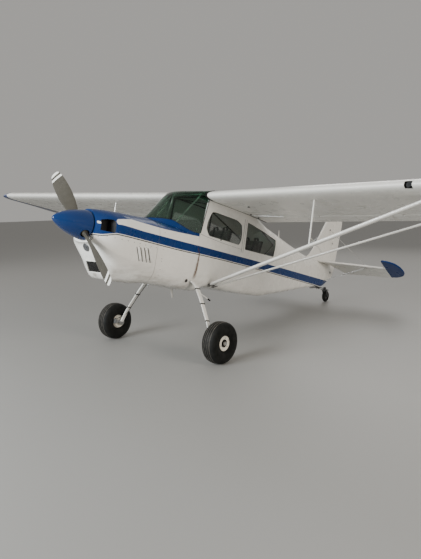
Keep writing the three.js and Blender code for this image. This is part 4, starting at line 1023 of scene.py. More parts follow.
# Main wheels and tyres
mainWheel = {
    "x": 1061, "aft": 1664, "up": -1182, "radius": 277, "half": 109, "rim": 82, "bead": 67.5, "hubHalf": 78,
    # along the axle, wide, deep
    "grooves": [(-48, 6, 6), (-16, 6, 6.5), (16, 6, 6.5), (48, 6, 6)],
}


def tyreSolid(middle, axis):
    radius, half, rim, bead = [mainWheel[key] for key in ("radius", "half", "rim", "bead")]
    wall = [
        # step, radius, along
        [0, rim + 0.8, bead], [1, rim + 9, bead + 1.5], [2, rim + 20, bead + 9],
        [3, rim + (radius - rim) * 0.3, half * 0.95], [4, rim + (radius - rim) * 0.5, half],
        [5, rim + (radius - rim) * 0.72, half * 0.955], [6, radius - half * 0.2, half * 0.79],
        [7, radius - half * 0.07, half * 0.6],
    ]
    wall = [tuple(through(wall, k / 4)) for k in range(29)]
    edge = half * 0.6

    def crown(along):
        return radius - half * 0.07 * abs(along / edge) ** 2.3

    tread = []
    for spot, wide, deep in mainWheel["grooves"]:
        start, end = spot - wide / 2, spot + wide / 2
        tread += [(crown(start) - 0.2, start), (crown(spot) - deep, spot - wide * 0.3),
                  (crown(spot) - deep, spot + wide * 0.3), (crown(end) - 0.2, end), (crown(end + 6), end + 6)]
    tread = [(crown(-edge + k), -edge + k) for k in np.linspace(4, edge + tread[0][1] - 3, 5)] + tread
    tread += [(crown(k), k) for k in np.linspace(tread[-1][1] + 4, edge - 4, 4)]
    profile = [(r, -a) for r, a in wall] + tread + [(r, a) for r, a in reversed(wall)]
    return turned(profile, middle, axis, 96, True)


def wheelSolid(middle, axis):
    rim, half = mainWheel["rim"], mainWheel["hubHalf"]
    flange = rim + 16
    return turned([
        (19.6, -104), (86, -104), (86, -98), (40, -98), (40, -72), (flange - 4, -half), (flange, -half + 1.5),
        (flange, -half + 6), (flange - 3, -half + 8), (rim, -half + 10), (rim, half - 10),
        (flange - 3, half - 8), (flange, half - 6), (flange, half - 1.5), (flange - 3, half),
        (flange - 9, half - 1), (flange - 14, half - 5), (74, half - 7), (58, half - 5), (53, half - 7),
        (52, half - 12), (52, 46), (19.6, 46),
    ], middle, axis, 72, True)


for name, side in bothSides:
    hub, axis = Vector((side * mainWheel["x"], mainWheel["aft"], mainWheel["up"])), toLeft * side
    body = f"main_wheel_{name}"
    place(tyreSolid(hub, axis), f"tyre_{name}_tread", mainTyreRubber, [f"tyre_{name}"], body, sharp=38)
    place(wheelSolid(hub, axis), f"wheel_{name}_rim", creamPaint, [f"wheel_{name}"], body, sharp=28)
    place(legSolid(side), f"gear_leg_{name}_leaf", legPaint, [f"gear_leg_{name}"], sharp=40)
print("wheels made")


# Small shapes that several fittings share

def domes(spots, radius=5.0, height=2.4):
    profile = [(radius, -1.5), (radius, height * 0.2), (radius * 0.7, height * 0.8), (0.0, height)]
    return joined(*[turned(profile, spot, facing, 14) for spot, facing in spots])


# Bolt heads and discs: a profile of (radius, along) pairs at several places
def repeated(profile, spots, axis, sides):
    return [turned(profile, spot, axis, sides) for spot in spots]


def skinBand(outline, outer, inner, reach=(200, 500)):
    return kept(bodyShell(cabinRows, outer, inner), sidePrism(outline, *reach))


# Cowl fittings
cowlFittings = {
    # (aft, up)
    "screws": [*[(aft, -100) for aft in range(190, 940, 92)], (108, -121),
               *[(aft, -20) for aft in range(330, 940, 100)],
               *[(1050, up) for up in (-225, -255, -367, -440)],
               (1016, -479), (832, -263), (1046, 20), (1044, 120), (1046, -100)],
    "louvres": [((623, -141), (690, -310)), ((681, -138), (748, -309)),
                ((744, -131), (812, -308)), ((802, -125), (875, -305))],
    "hood": [(-12, -1), (-8, 7), (0, 12), (9, 15), (14, 15.5), (14, 13.5), (8, 12), (0, 9), (-6, 4),
             (-9, -1)],
    # slot: a thin black strip under each hood, reaching past its front and rear: painted shadow at the hood's
    # foot.
    "slot": [(-22, 0.2), (22, 0.2), (22, 1.0), (-22, 1.0)],
    "inletLip": [(86, 37), (117, 33), (117, 62), (86, 65)],
    "chinTop": (115, -173), "chinSlope": 0.6, "intake": (0, 294.5, -471),
    "vent": (-25, 252), "ventRadius": 52,
}
chinFacing = Vector((0, -1, -cowlFittings["chinSlope"])).normalized()
chinDown = Vector((0, cowlFittings["chinSlope"], -1)).normalized()
chinAxes = [toLeft, chinDown, -chinFacing]


def chinSpot(x, down, proud=0.0):
    aft = cowlFittings["chinTop"][0] + cowlFittings["chinSlope"] * (down + cowlFittings["chinTop"][1])
    return Vector((x, aft, -down)) + chinFacing * proud


def louvre(side, top, bottom, part):
    rings = []
    along = (onSkin(noseRows, *bottom, side)[0] - onSkin(noseRows, *top, side)[0]).normalized()
    for t in (k / 14 for k in range(15)):
        spot, facing = onSkin(noseRows, *[a + (b - a) * t for a, b in zip(top, bottom)], side)
        rearward = facing.cross(along).normalized() * side
        rise = min(1.0, 2.6 * sin(pi * clamped(t, 0.001, 0.999))) ** 0.6
        rings.append([spot + rearward * a + facing * (h if h < 0 else h * rise)
                      for a, h in cowlFittings[part]])
    return loft(rings)


for name, side in bothSides:
    screws = domes([onSkin(noseRows, *spot, side) for spot in cowlFittings["screws"]])
    place(screws, f"cowl_screws_{name}", darkSteel)
    # Each hood stands on its black slot strip, which is the painted shadow at its foot.
    for part, finish in (("hood", whitePaint), ("slot", blackAndShadow)):
        parts = [louvre(side, *ends, part) for ends in cowlFittings["louvres"]]
        place(joined(*parts), f"louvre_{part}s_{name}", finish)
    baffle = kept(carve(boxOf((150, 420), (110, 290), (-52, 118)), boxOf((156, 430), (117, 283), (-45, 111))),
                  bodySolid(noseRows, 7.3, 90, 320, 20))
    place(mirrored(baffle, side), f"inlet_baffle_{name}", blackAndShadow)
    lip = kept(bodyShell(noseRows, (-1.5, 77, 140), (4, 70, 150), 12),
               sidePrism(roundedOutline(cowlFittings["inletLip"], 5), 100, 420))
    place(mirrored(lip, side), f"inlet_lip_{name}", whitePaint)

ventSpot, r = chinSpot(*cowlFittings["vent"], 7), cowlFittings["ventRadius"]
vent = turned([(r, -16), (r, 4), (r - 3, 6.5), (r - 8, 6), (r - 11, 1), (r - 22, 0), (r - 24, 3), (r - 28, 3),
               (r - 30, 0), (14, 0), (12, 5), (0.0, 6)], ventSpot, chinFacing, 48)
place(vent, "chin_vent", ventGrey)
ventRing = [ventSpot + chinFacing * 5.5 + (toLeft * c + chinDown * s) * (r - 5) for c, s in roundAbout(8)]
place(domes([(spot, chinFacing) for spot in ventRing], 2.6, 1.4), "chin_vent_screws", darkSteel)


def atIntake(deep, size, x=0, down=0):
    spot = Vector(cowlFittings["intake"]) + chinFacing * deep + toLeft * x + chinDown * down
    return turnedBox(spot, chinAxes, size)


place(carve(atIntake(-20, (256, 163, 56)), atIntake(-16, (238, 145, 80))), "intake_frame", whitePaint)
pleats = [atIntake(-9, (3.5, 144, 7), x) for x in range(-112, 113, 11)]
place(joined(atIntake(-14, (239, 146, 8)), *pleats), "intake_filter", blackAndShadow)
wires = [atIntake(-4, (238, 1.6, 1.6), 0, down) for down in range(-66, 67, 12)]
place(joined(*wires), "intake_grille", darkSteel)

# Pipe and masts under the belly, and the roof's aerial
place(tube([(0, 1238, -560), (0, 1240, -590), (0, 1252, -612)], 7, 14, smooth=2), "drain_pipe", steel)
masts = [
    # name, foot, tip, wide, thick
    ("belly_mast", (0, 1706, -570), (0, 1752, -705), 60, 13),
    ("belly_mast_small", (60, 2060, -465), (60, 2086, -540), 44, 11),
    ("roof_aerial", (0, 4242, 610), (0, 4205, 800), 34, 11),
]
for name, foot, tip, wide, thick in masts:
    rings = []
    for t in (0, 0.15, 0.4, 0.7, 0.9, 1.0):
        size = (1 - 0.55 * t - (0.25 if t == 1.0 else 0)) / 2
        spot = Vector(foot).lerp(Vector(tip), t)
        rings.append([spot + Vector((thick * size * s, wide * size * c, 0)) for c, s in roundAbout(18)])
    place(loft(rings), name, whitePaint)
aerialFoot = turned([(34, -4), (34, 1.5), (26, 3), (0.0, 3.5)], (0, 4242, 624), (0, 0.2, 1), 32)
place(aerialFoot, "roof_aerial_foot", whitePaint)
print("cowl fittings made")


# Seals, rims and seams round the glass

def topAt(rows, aft, x):
    ring = sorted((p for p in sectionRing(rows, aft, steps=30) if p[0] >= 0 and p[2] > 0), key=lambda p: p[0])
    return float(np.interp(abs(x), [p[0] for p in ring], [p[2] for p in ring]))


# The seal lies where the glass first rises out of the deck and its painted fairing
def deckSeal():
    path = []
    for column in range(1, screen["columns"]):
        for k in range(61):
            spot = onScreen(k / 20, column)
            if spot.y > 1710:
                break
            if spot.z > max(topAt(noseRows, spot.y, spot.x) + 1, through(footEdge, spot.y)[0]):
                path.append(spot)
                break
    return tube(path, screen["seal"], 10, smooth=1)


place(deckSeal(), "windscreen_seal", blackRubber)
for name, side in bothSides:
    post = [onSkin(cabinRows, 1713 + 88 * k / 12, 250 + 552 * k / 12, side, -2)[0] for k in range(13)]
    place(tube(post, 6, 10), f"windscreen_post_seal_{name}", blackRubber)

rimBand = bodyShell(cabinRows, (-1.4, 1730, 3740), (15, 1710, 3760))
for name, node, corners, radius, side, body in windows:
    rim = kept(rimBand, windowPrism(corners, radius, side, 4.5))
    rim = carve(rim, windowPrism(corners, radius, side, 5, (190, 510)))
    place(rim, f"window_rim_{name}", rimGrey, body=body)

postStrip = [(2688, 150), (2722, 150), (2710, 660), (2674, 660)]
postEdges = [[(2681, 150), (2688, 150), (2674, 660), (2667, 660)],
             [(2722, 150), (2729, 150), (2717, 660), (2710, 660)]]
sillSeam = [(1716, 236), (1850, 221), (2200, 201), (2700, 190), (2700, 193), (2200, 205), (1850, 226),
            (1716, 241)]
latchPlate = roundedOutline([(2150, 228), (2172, 228), (2172, 262), (2150, 262)], 6)
place(skinBand(postStrip, (-1.6, 2600, 2800), (4, 2580, 2820)), "window_post_strip", whitePaint)
edges = [skinBand(edge, (-0.9, 2600, 2800), (4, 2580, 2820)) for edge in postEdges]
place(joined(*edges), "window_post_edges", rimGrey)
place(skinBand(sillSeam, (-1.0, 1713, 3300), (4, 1700, 3320)), "sill_seam_left", rimGrey)
place(skinBand(latchPlate, (-7, 2100, 2220), (2, 2080, 2240)), "window_latch", blackSteel)
knob = Vector((318, 1694, 300))
ball = turned([(0.0, -12), (9, -9), (12, 0), (9, 9), (0.0, 12)], knob, upward, 20)
place(joined(rod(knob - upward * 78, knob, 4.5, 12), ball), "vent_knob", whitePaint)

# The door's hinges and handle
for level, low in (("lower", -240), ("upper", 520)):
    barrel = rod((-407, 1797, low + 1), (-407, 1797, low + 40), 6, 18)
    strap = boxOf((-409, -396), (1797, 1851), (low + 3, low + 38))
    place(joined(barrel, strap), f"door_hinge_{level}", whitePaint, body="door")
    barrel = rod((-407, 1797, low - 22), (-407, 1797, low - 1), 6, 18)
    plate = boxOf((-409, -394), (1752, 1797), (low - 21, low - 2))
    place(joined(barrel, plate), f"door_hinge_plate_{level}", whitePaint)
grip = tube([(-398, 2612, 120), (-420, 2612, 120), (-426, 2600, 120), (-426, 2520, 116)], 7, 12, smooth=2)
rose = turned([(20, -3), (20, 3), (14, 5), (0.0, 5)], (-399, 2612, 120), -toLeft, 28)
place(joined(grip, rose), "door_handle", brightSteel, body="door")
print("glass fittings made")

# Lift struts, of a streamlined section
strutTable = {
    "front": {"foot": (425, 2060, -430), "outer": 3470, "share": 0.2, "deep": 112, "thick": 42},
    "rear": {"foot": (425, 2165, -436), "outer": 3600, "share": 0.66, "deep": 70, "thick": 26},
}
# along from a strut's end, size of its section
strutFoot = ((0, 0.5), (60, 1), (140, 1.0))
strutCuff = ((-150, 1.03), (-146, 1.06), (-60, 1.12), (10, 1.32), (24, 1.36))


def streamlined(deep, thick, points=14):
    shares = [(1 - cos(pi * k / points)) / 2 for k in range(points + 1)]
    upper = [((s - 0.5) * deep, 5 * foilHalf(s, 0.1036) * thick) for s in shares]
    return upper + [(f, -h) for f, h in upper[-2:0:-1]]


for name, side in bothSides:
    for which, row in strutTable.items():
        x, aft, up = row["foot"]
        foot = Vector((side * x, aft, up))
        top = wingPoint(side, row["outer"], row["share"], wingHeights(row["share"])[1])
        along = (top - foot).normalized()
        across = along.cross(toRear).normalized()
        rearward = across.cross(along).normalized()

        def ringAt(spot, size, thicker=1):
            return [spot + rearward * f * size + across * h * size * thicker
                    for f, h in streamlined(row["deep"], row["thick"])]

        rings = [ringAt(foot + along * distance, size) for distance, size in strutFoot]
        rings.append(ringAt(top + along * 8, 1))
        place(loft(rings), f"strut_{which}_{name}_tube", whitePaint, [f"strut_{which}_{name}"], sharp=50)
        cuff = loft([ringAt(top + along * distance, size, 1.25) for distance, size in strutCuff])
        place(cuff, f"strut_cuff_{which}_{name}", whitePaint, sharp=50)
        axes, eye = [along, rearward, across], foot - along * 34
        plates = [turnedBox(foot - along * 18 + across * apart, axes, (96, 38, 4)) for apart in (-10, 10)]
        bolt = rod(eye - across * 22, eye + across * 22, 7, 12)
        nut = turned([(12, 0), (12, 8), (9, 10), (0.0, 10)], eye + across * 14, across, 6)
        place(joined(*plates, bolt, nut), f"strut_fitting_{which}_{name}", darkSteel)

# Under and on the wings, as (x, share of the chord); a third number is how far below the wing
wingFittings = {
    "cap": (900, 0.26), "pulleys": [(756, 0.35), (468, 0.65), (452, 0.8)],
    "covers": [(x, 0.5) for x in (1180, 2370, 4160)],
    "flapRod": [(470, 0.66, 16), (560, 0.69, 14), (964, 0.75, 10)],
    "tie": (3300, 0.24), "tieRadius": 14, "tieWire": 3.5, "pitot": (3950, 0.16), "light": 3210,
}


def onWing(side, x, share, proud=0.0, lower=True):
    upper, under = wingHeights(share)[:2]
    return wingPoint(side, x, share, under - proud if lower else upper + proud)


lightMiddle = wingPoint(1, wingFittings["light"], 0, 0)
for name, side in bothSides:
    spots = [onWing(side, *spot, 1) for spot in wingFittings["pulleys"]]
    pulleys = repeated([(15, 0), (15, 12), (10, 15), (0.0, 15)], spots, -upward, 20)
    place(joined(*pulleys), f"wing_pulleys_{name}", blackSteel)
    place(tube([onWing(side, *spot) for spot in wingFittings["flapRod"]], 6, 12), f"flap_rod_{name}", steel)
    cap = onWing(side, *wingFittings["cap"], lower=False)
    lid = turned([(48, -3), (48, 2), (42, 4), (24, 4), (22, 9), (0.0, 10)], cap, upward, 36)
    wingNut = boxOf((cap.x - 20, cap.x + 20), (cap.y - 3, cap.y + 3), (cap.z + 8, cap.z + 17))
    place(joined(lid, wingNut), f"fuel_cap_{name}", brightSteel)
    radius, wire = wingFittings["tieRadius"], wingFittings["tieWire"]
    eye = turned([(radius + wire * c, wire * s) for c, s in roundAbout(10)],
                 onWing(side, *wingFittings["tie"], 12), toLeft, 32, True)
    place(eye, f"tie_down_{name}", blackSteel)
    spots = [onWing(side, *spot, 0.4) for spot in wingFittings["covers"]]
    covers = repeated([(52, 0), (52, 1.2), (49, 1.8), (0.0, 1.8)], spots, (0, 0.07, -1), 36)
    place(joined(*covers), f"inspection_covers_{name}", whitePaint)
    lens = turned([(0.0, -16), (9, -13), (13, 0), (12, 8), (7, 16), (0.0, 19)], wingPoint(side, 5462, 0.19, 4),
                  (side * 0.35, -1, 0), 24)
    place(lens, f"tip_light_{name}", redLens if side > 0 else greenLens)


def lightBox(half, high, front, rear):
    x, z = lightMiddle.x, lightMiddle.z
    return boxOf((x - half, x + half), (front, rear), (z - high, z + high))


wingNose = loft([wingRing(1, lightMiddle.x + x, 0.998, 2, 0.99, steps=40) for x in (-50, 50)])
lampTub = carve(lightBox(41, 37, 1694, 1768), lightBox(38, 34, 1600, 1764))
place(kept(lampTub, wingNose), "landing_light_box", blackAndShadow)
lamp = [(27, 25), (30, 24), (30, 20), (27, 12), (20, 4), (10, 0), (0.0, 0)]
place(turned(lamp, (lightMiddle.x, 1758, lightMiddle.z), -toRear, 40), "landing_light_lamp", lampGlass)
pitotTop = onWing(1, *wingFittings["pitot"])
pitotPath = [pitotTop + Vector((0, y, z)) for y, z in ((0, 6), (-4, -60), (-26, -84), (-190, -84))]
place(tube(pitotPath, 6, 14, smooth=2), "pitot_tube", brightSteel)
print("struts and wing fittings made")


# Tail surfaces, rounded at their edges

# An outline moved inwards, with the points that would cross each other drawn together
def movedIn(points, inward, inset):
    count = len(points)
    moved = [p + n * inset for p, n in zip(points, inward)]
    for _ in range(40):
        for i in range(count):
            j = (i + 1) % count
            if (moved[j] - moved[i]).dot(points[j] - points[i]) < 0:
                moved[i] = moved[j] = (moved[i] + moved[j]) / 2
    return moved


# spot says where an outline's point stands at a height over the plate's middle
def roundedPlate(outline, thick, spot, layers=8):
    points = [Vector(p) for p in outline]
    turning = sum(a.x * b.y - b.x * a.y for a, b in zip(points, points[1:] + points[:1]))
    inward = []
    for i in range(len(points)):
        edge = (points[(i + 1) % len(points)] - points[i - 1]).normalized()
        inward.append(Vector((-edge.y, edge.x)) * (1 if turning > 0 else -1))
    rings = []
    steps = [(pi * (k / layers - 0.5), 0) for k in range(layers + 1)]
    for angle, deeper in [(-pi / 2, 2), *steps, (pi / 2, 2)]:
        inset = thick / 2 * (1 - cos(angle)) + deeper
        rings.append([spot(*p, thick / 2 * sin(angle)) for p in movedIn(points, inward, inset)])
    return loft(rings)


tailTable = {
    "up": 475, "hinge": 6120, "droop": radians(18), "arms": (-1100, -280, 280, 1100), "finHinge": 6232,
    "rudderArms": [168 + 1524 * share for share in (0.06, 0.5, 0.92)], "light": (0, 6462, 560),
}
stabiliserHalf = [(90, 5600), (1190, 6001), (1240, 6040), (1240, 6090)]
elevatorOutline = [
    (110, 0), (110, 60), (235, 250), (300, 372), (1180, 380), (1400, 350), (1530, 270), (1592, 150), (1600, 20),
    (1580, -120), (1520, -240), (1420, -320), (1320, -350), (1272, -330), (1262, 0),
]
finOutline = [(5262, 412), (5262, 480), (5360, 560), (5461, 673), (5587, 874), (5837, 1289), (5980, 1520),
              (6060, 1612), (6130, 1660), (6206, 1684), (6206, 412)]
rudderOutline = [(0, 168), (70, 176), (160, 250), (212, 420), (222, 580), (300, 1300), (296, 1440), (262, 1560),
                 (190, 1644), (90, 1686), (0, 1692)]


def onHinge(x):
    return Vector((x, tailTable["hinge"], tailTable["up"]))


def drooped(x, behind, height):
    c, s = cos(tailTable["droop"]), sin(tailTable["droop"])
    return onHinge(x) + Vector((0, behind * c + height * s, height * c - behind * s))


def lying(x, y, height):
    return (x, y, tailTable["up"] + height)


def upright(y, z, height):
    return (height, y, z)


whole = [(0, 5566)] + stabiliserHalf + [(-x, y) for x, y in reversed(stabiliserHalf)]
stabiliser = roundedPlate(roundedOutline(whole, 34, 4), 34, lying)
place(stabiliser, "stabiliser_plate", tailFabric, ["stabiliser"], sharp=40)
arms = [boxOf((x - 5, x + 5), (6064, 6126), (469, 481)) for x in tailTable["arms"]]
pins = [rod(onHinge(x - 15), onHinge(x + 15), 4, 12) for x in tailTable["arms"]]
place(joined(*arms, *pins), "elevator_hinges", steel)

halves = []
for _, side in bothSides:
    plate = roundedPlate([(side * x, b) for x, b in roundedOutline(elevatorOutline, 46, 4)], 30, drooped)
    halves.append(carve(plate, rod(onHinge(side * 112), onHinge(side * 1262), 15, 28), way="UNION"))
elevator = carve(*halves, rod(onHinge(-150), onHinge(150), 12, 20), way="UNION")
elevator = carve(elevator, *[boxOf((x - 11, x + 11), (6090, 6151), (430, 520)) for x in tailTable["arms"]])
place(elevator, "elevator_plate", tailFabric, ["elevator"], "elevator", sharp=40)

place(roundedPlate(roundedOutline(finOutline, 40, 4), 34, upright), "fin_plate", finFabric, ["fin"], sharp=40)
pinAft = tailTable["finHinge"]
arms = [joined(boxOf((-5, 5), (6184, 6238), (z - 6, z + 6)),
               rod((0, pinAft, z - 15), (0, pinAft, z + 15), 4, 12)) for z in tailTable["rudderArms"]]
place(joined(*arms), "rudder_hinges", steel)
plate = roundedPlate([(pinAft + b, z) for b, z in roundedOutline(rudderOutline, 46, 4)], 28, upright)
rudder = carve(plate, rod((0, pinAft, 170), (0, pinAft, 1690), 15, 28), way="UNION")
rudder = carve(rudder, *[boxOf((-60, 60), (6200, 6263), (z - 19, z + 19)) for z in tailTable["rudderArms"]])
place(rudder, "rudder_plate", finFabric, ["rudder"], "rudder", sharp=40)
print("tail surfaces made")

# Seats, each a padded pan and back on a tube frame with two webbing belts
seat = {
    "fronts": {"front": 2010, "rear": 2860}, "floor": -450,
    "half": 219, "thick": 54, "corner": 46, "crown": 0.055,
    "voxel": 0.008, "pressure": 4.0, "steps": 20, "cap": 0.012, "seamDeep": 0.005, "seamWide": 7,
}
pan = {
    "middle": Vector((0, 222, -119)), "long": 424,
    "axes": [toLeft, Vector((0, 430, -18)).normalized(), Vector((0, 18, 430)).normalized()],
    "across": (-95, 0, 95),
}
back = {
    "middle": Vector((0, 531, 190)), "long": 574,
    "axes": [toLeft, Vector((0, 130, 590)).normalized(), Vector((0, -590, 130)).normalized()],
    "across": (-180, -90, 0, 90, 180),
}


def padOutline(long, steps):
    corners = [(x * seat["half"], y * long / 2) for x, y in ((-1, -1), (1, -1), (1, 1), (-1, 1))]
    return roundedOutline(corners, seat["corner"], steps)


# A slab with round corners, crowned a little and pulled in at its sides
def padBlank(middle, part):
    rings = []
    for angle in (pi * (k / 8 - 0.5) for k in range(9)):
        pull, rise = 1 - seat["crown"] * (1 - cos(angle)), seat["thick"] / 2 * sin(angle)
        rings.append([middle + turnOf(part["axes"]) @ Vector((x * pull, y * pull, rise))
                      for x, y in padOutline(part["long"], 7)])
    return loft(rings)


# Blows a pad up like a stuffed cushion, and keeps every point close to where it started
def stuffed(blank):
    mesh = blank.copy()
    mesh.transform(onGear)
    pad = bpy.data.objects.new("pad_at_work", mesh)
    bpy.context.scene.collection.objects.link(pad)
    remesh = pad.modifiers.new("even", "REMESH")
    remesh.mode, remesh.voxel_size = "VOXEL", seat["voxel"]
    pad.data = meshOf(pad)
    pad.modifiers.clear()
    before = np.array([v.co for v in pad.data.vertices])
    cloth = pad.modifiers.new("stuffing", "CLOTH")
    cloth.settings.use_pressure = True
    cloth.settings.uniform_pressure_force = seat["pressure"]
    cloth.settings.effector_weights.gravity = 0
    cloth.point_cache.frame_start, cloth.point_cache.frame_end = 1, seat["steps"]
    for step in range(1, seat["steps"] + 1):
        bpy.context.scene.frame_set(step)
    swollen = meshOf(pad)
    move = np.array([v.co for v in swollen.vertices]) - before
    length = np.linalg.norm(move, axis=1, keepdims=True)
    held = before + move * np.minimum(1, seat["cap"] / np.maximum(length, 1e-9))
    swollen.vertices.foreach_set("co", held.ravel())
    pad.modifiers.clear()
    pad.data = swollen
    bpy.context.scene.frame_set(1)
    result = pad.data
    bpy.data.objects.remove(pad)
    return result


# Sinks sewn channels into a stuffed pad, across it
def sewn(mesh, middle, part):
    inverse = (onGear @ Matrix.Translation(middle) @ turnOf(part["axes"]).to_4x4()).inverted()
    for vertex, normal in zip(mesh.vertices, [v.normal.copy() for v in mesh.vertices]):
        y, z = (inverse @ vertex.co).yz
        if z > 6:
            depth = sum(exp(-((y - line) / seat["seamWide"]) ** 2) for line in part["across"])
            vertex.co -= normal * seat["seamDeep"] * min(depth, 1)
    return mesh


# Piping along the widest line of a stuffed pad
def piping(mesh, middle, part):
    skin = BVHTree.FromPolygons([v.co for v in mesh.vertices], [p.vertices[:] for p in mesh.polygons])
    outline = padOutline(part["long"], 8)
    path = []
    for (x, y), (nextX, nextY) in zip(outline, outline[1:] + outline[:1]):
        for t in (0, 0.34, 0.67) if hypot(nextX - x, nextY - y) > 60 else (0,):
            arm = turnOf(part["axes"]) @ Vector((x + (nextX - x) * t, y + (nextY - y) * t, 0))
            outer, inner = onGear @ (middle + arm * 1.5), onGear @ (middle + arm * 0.3)
            hit = skin.ray_cast(outer, (inner - outer).normalized())[0]
            path.append(onGear.inverted() @ (hit if hit else inner))
    path.append(path[0].copy())
    return tube(path, 4.2, 8, smooth=1)


def webbing(path, across, wide=44, thick=3):
    corners = ((-1, -0.6), (-0.96, -1), (0.96, -1), (1, -0.6), (1, 0.6), (0.96, 1), (-0.96, 1), (-1, 0.6))
    rings = []
    for i, spot in enumerate(path):
        over = wayAlong(path, i).cross(across).normalized()
        rings.append([spot + across * a * wide / 2 + over * b * thick / 2 for a, b in corners])
    return loft(rings)


pads = {}
for name, part in (("pan", pan), ("back", back)):
    middle = part["middle"] + toRear * seat["fronts"]["front"]
    cloth = stuffed(padBlank(middle, part))
    pads[name] = (sewn(cloth, middle, part), piping(cloth, middle, part))
for which, front in seat["fronts"].items():
    shift = toRear * (front - seat["fronts"]["front"])
    for name, (cloth, cord) in pads.items():
        mesh = cloth.copy()
        mesh.transform(Matrix.Translation(tipBack.to_3x3() @ shift / 1000))
        pad = place(mesh, f"seat_{which}_{name}", seatWeave, [f"seat_{which}"], sharp=180, drawnLevel=False)
        fine = pad.modifiers.new("fine", "SUBSURF")
        fine.levels = fine.render_levels = 1
        edge = cord.copy()
        edge.transform(Matrix.Translation(shift))
        place(edge, f"seat_{which}_{name}_piping", panelBlack, slot="seat_cloth")
    frameTubes = []
    for x in (180, -180):
        paths = ([(40, seat["floor"]), (40, -168), (60, -158), (440, -172)],
                 [(420, seat["floor"]), (424, -172), (500, -160), (604, 300), (640, 460)])
        frameTubes += [tube([(x, front + y, z) for y, z in path], 11, 12, smooth=2) for path in paths]
        feet = [(x, front + y, seat["floor"] - 2) for y in (40, 420)]
        frameTubes += repeated([(26, 0), (26, 5), (14, 9), (0.0, 9)], feet, upward, 20)
    frameTubes += [rod((-180, front + y, z), (180, front + y, z), 9, 12)
                   for y, z in ((250, -166), (560, 110), (636, 450))]
    place(joined(*frameTubes), f"seat_{which}_tubes", blackSteel, [f"seat_{which}"])
    belts = []
    panMiddle, backMiddle = [part["middle"] + toRear * front for part in (pan, back)]
    for x in (-95, 95):
        over = [Vector((x, front + y, z)) for y, z in ((624, 420), (618, 492), (584, 516), (536, 498))]
        down = [backMiddle + toLeft * x * (1 - 0.5 * t) + back["axes"][1] * (250 - 480 * t)
                + back["axes"][2] * (47 + 3 * sin(9 * t)) for t in (k / 8 for k in range(9))]
        lap = [panMiddle + toLeft * x * k + pan["axes"][1] * (150 - 60 * (2.2 - k) / 2.2)
               + pan["axes"][2] * rise for k, rise in ((2.35, -10), (2.2, 32), (1.8, 46), (1.0, 47), (0.35, 48))]
        belts += [webbing(over + down, toLeft), webbing(lap, toRear)]
    place(joined(*belts), f"seat_belts_{which}", beltWeave)
    spot = panMiddle + pan["axes"][1] * 94 + pan["axes"][2] * 50
    buckle = turned([(30, -4), (32, 0), (30, 8), (22, 11), (0.0, 12)], spot, pan["axes"][2], 28)
    place(joined(buckle, turnedBox(spot, pan["axes"], (84, 34, 5))), f"seat_buckle_{which}", brightSteel)
print("seats made")

# Dials and switches on the instrument panel, which face aft
panel = {
    "aft": 1484.4, "switches": range(-280, 281, 40),
    # x, up, radius
    "dials": [*[(x, up, 40) for up in (205, 110) for x in (-250, -155, -60)],
              *[(x, up, 28) for up in (215, 150) for x in (210, 275)]],
    # x, up, wide, high
    "boxes": [(75, 215, 150, 44), (75, 160, 150, 44), (75, 110, 150, 34)],
}


# A mark on a dial, laid out from its middle
def dialMark(spot, turn, out, proud, size):
    across = Vector((cos(turn), 0, sin(turn)))
    return turnedBox(spot + toRear * proud + across * out, [across, toRear, across.cross(toRear)], size)


bezels, faces, marks, knobs = [], [], [], []
for x, up, radius in panel["dials"]:
    spot = Vector((x, panel["aft"], up))
    ring = [(radius, 0), (radius, 6), (radius - 3, 9), (radius - 6, 9), (radius - 8, 3), (radius - 8, 0)]
    bezels.append(turned(ring, spot, toRear, 36, looped=True))
    faces.append(turned([(radius - 8, 0.3), (radius - 8, 2), (0.0, 2)], spot, toRear, 36))
    marks += [dialMark(spot, 2 * pi * k / 12, radius - 13, 2.4, (6, 0.8, 1.4)) for k in range(12)]
    marks.append(dialMark(spot, radians(50 + x + up), radius * 0.25, 3.4, (radius * 0.62, 0.8, 2.2)))
for x, up, wide, high in panel["boxes"]:
    y = panel["aft"]
    bezels.append(boxOf((x - wide / 2, x + wide / 2), (y, y + 7), (up - high / 2, up + high / 2)))
    marks.append(boxOf((x - wide * 0.3, x + wide * 0.2), (y + 7, y + 7.8),
                       (up - high * 0.25, up + high * 0.25)))
    spots = [(x + wide * share, y + 6, up) for share in (-0.42, 0.36)]
    knobs += repeated([(9, 0), (8, 16), (6, 18), (0.0, 18)], spots, toRear, 18)
knobs += [rod((x, panel["aft"] - 2, 42), (x, panel["aft"] + 16, 50), 3.4, 10, 5.0) for x in panel["switches"]]
for shapes, name, finish in ((bezels, "bezels", rimGrey), (faces, "faces", blackAndShadow),
                             (marks, "marks", dialWhite), (knobs, "knobs", panelBlack)):
    place(joined(*shapes), f"panel_{name}", finish)

# Welded tube frame inside the cabin
post = {"x": 358, "near": 350, "front": 1836, "rear": 2716, "low": -420, "thick": 11, "thin": 8.8}
front, rear, low, thick, thin = [post[key] for key in ("front", "rear", "low", "thick", "thin")]
darkTubes = []
for _, side in bothSides:
    x, near = side * post["x"], side * post["near"]
    darkTubes += [
        ((x, front - 40, low), (near, front, 800), thick), ((x, rear, low), (near, rear, 800), thick),
        ((near, front, 800), (near, rear, 800), thick), ((near, rear, 790), (-near, front, 790), thin),
        ((x, rear, low + 20), (side * 300, 3640, -250), thick),
        ((near, rear, 790), (side * 296, 3640, 440), thick), ((x, rear, low + 40), (side * 300, 3640, 430), thin),
    ]
crossbars = ((front, 800), (rear, 800), (rear, low + 30))
darkTubes += [((-post["x"], y, z), (post["x"], y, z), thick) for y, z in crossbars]
wallRoom = bodySolid(cabinRows, 24.8, 1712.4, 3749)
darkTubes = [kept(rod(*ends, 14), wallRoom) for ends in darkTubes]
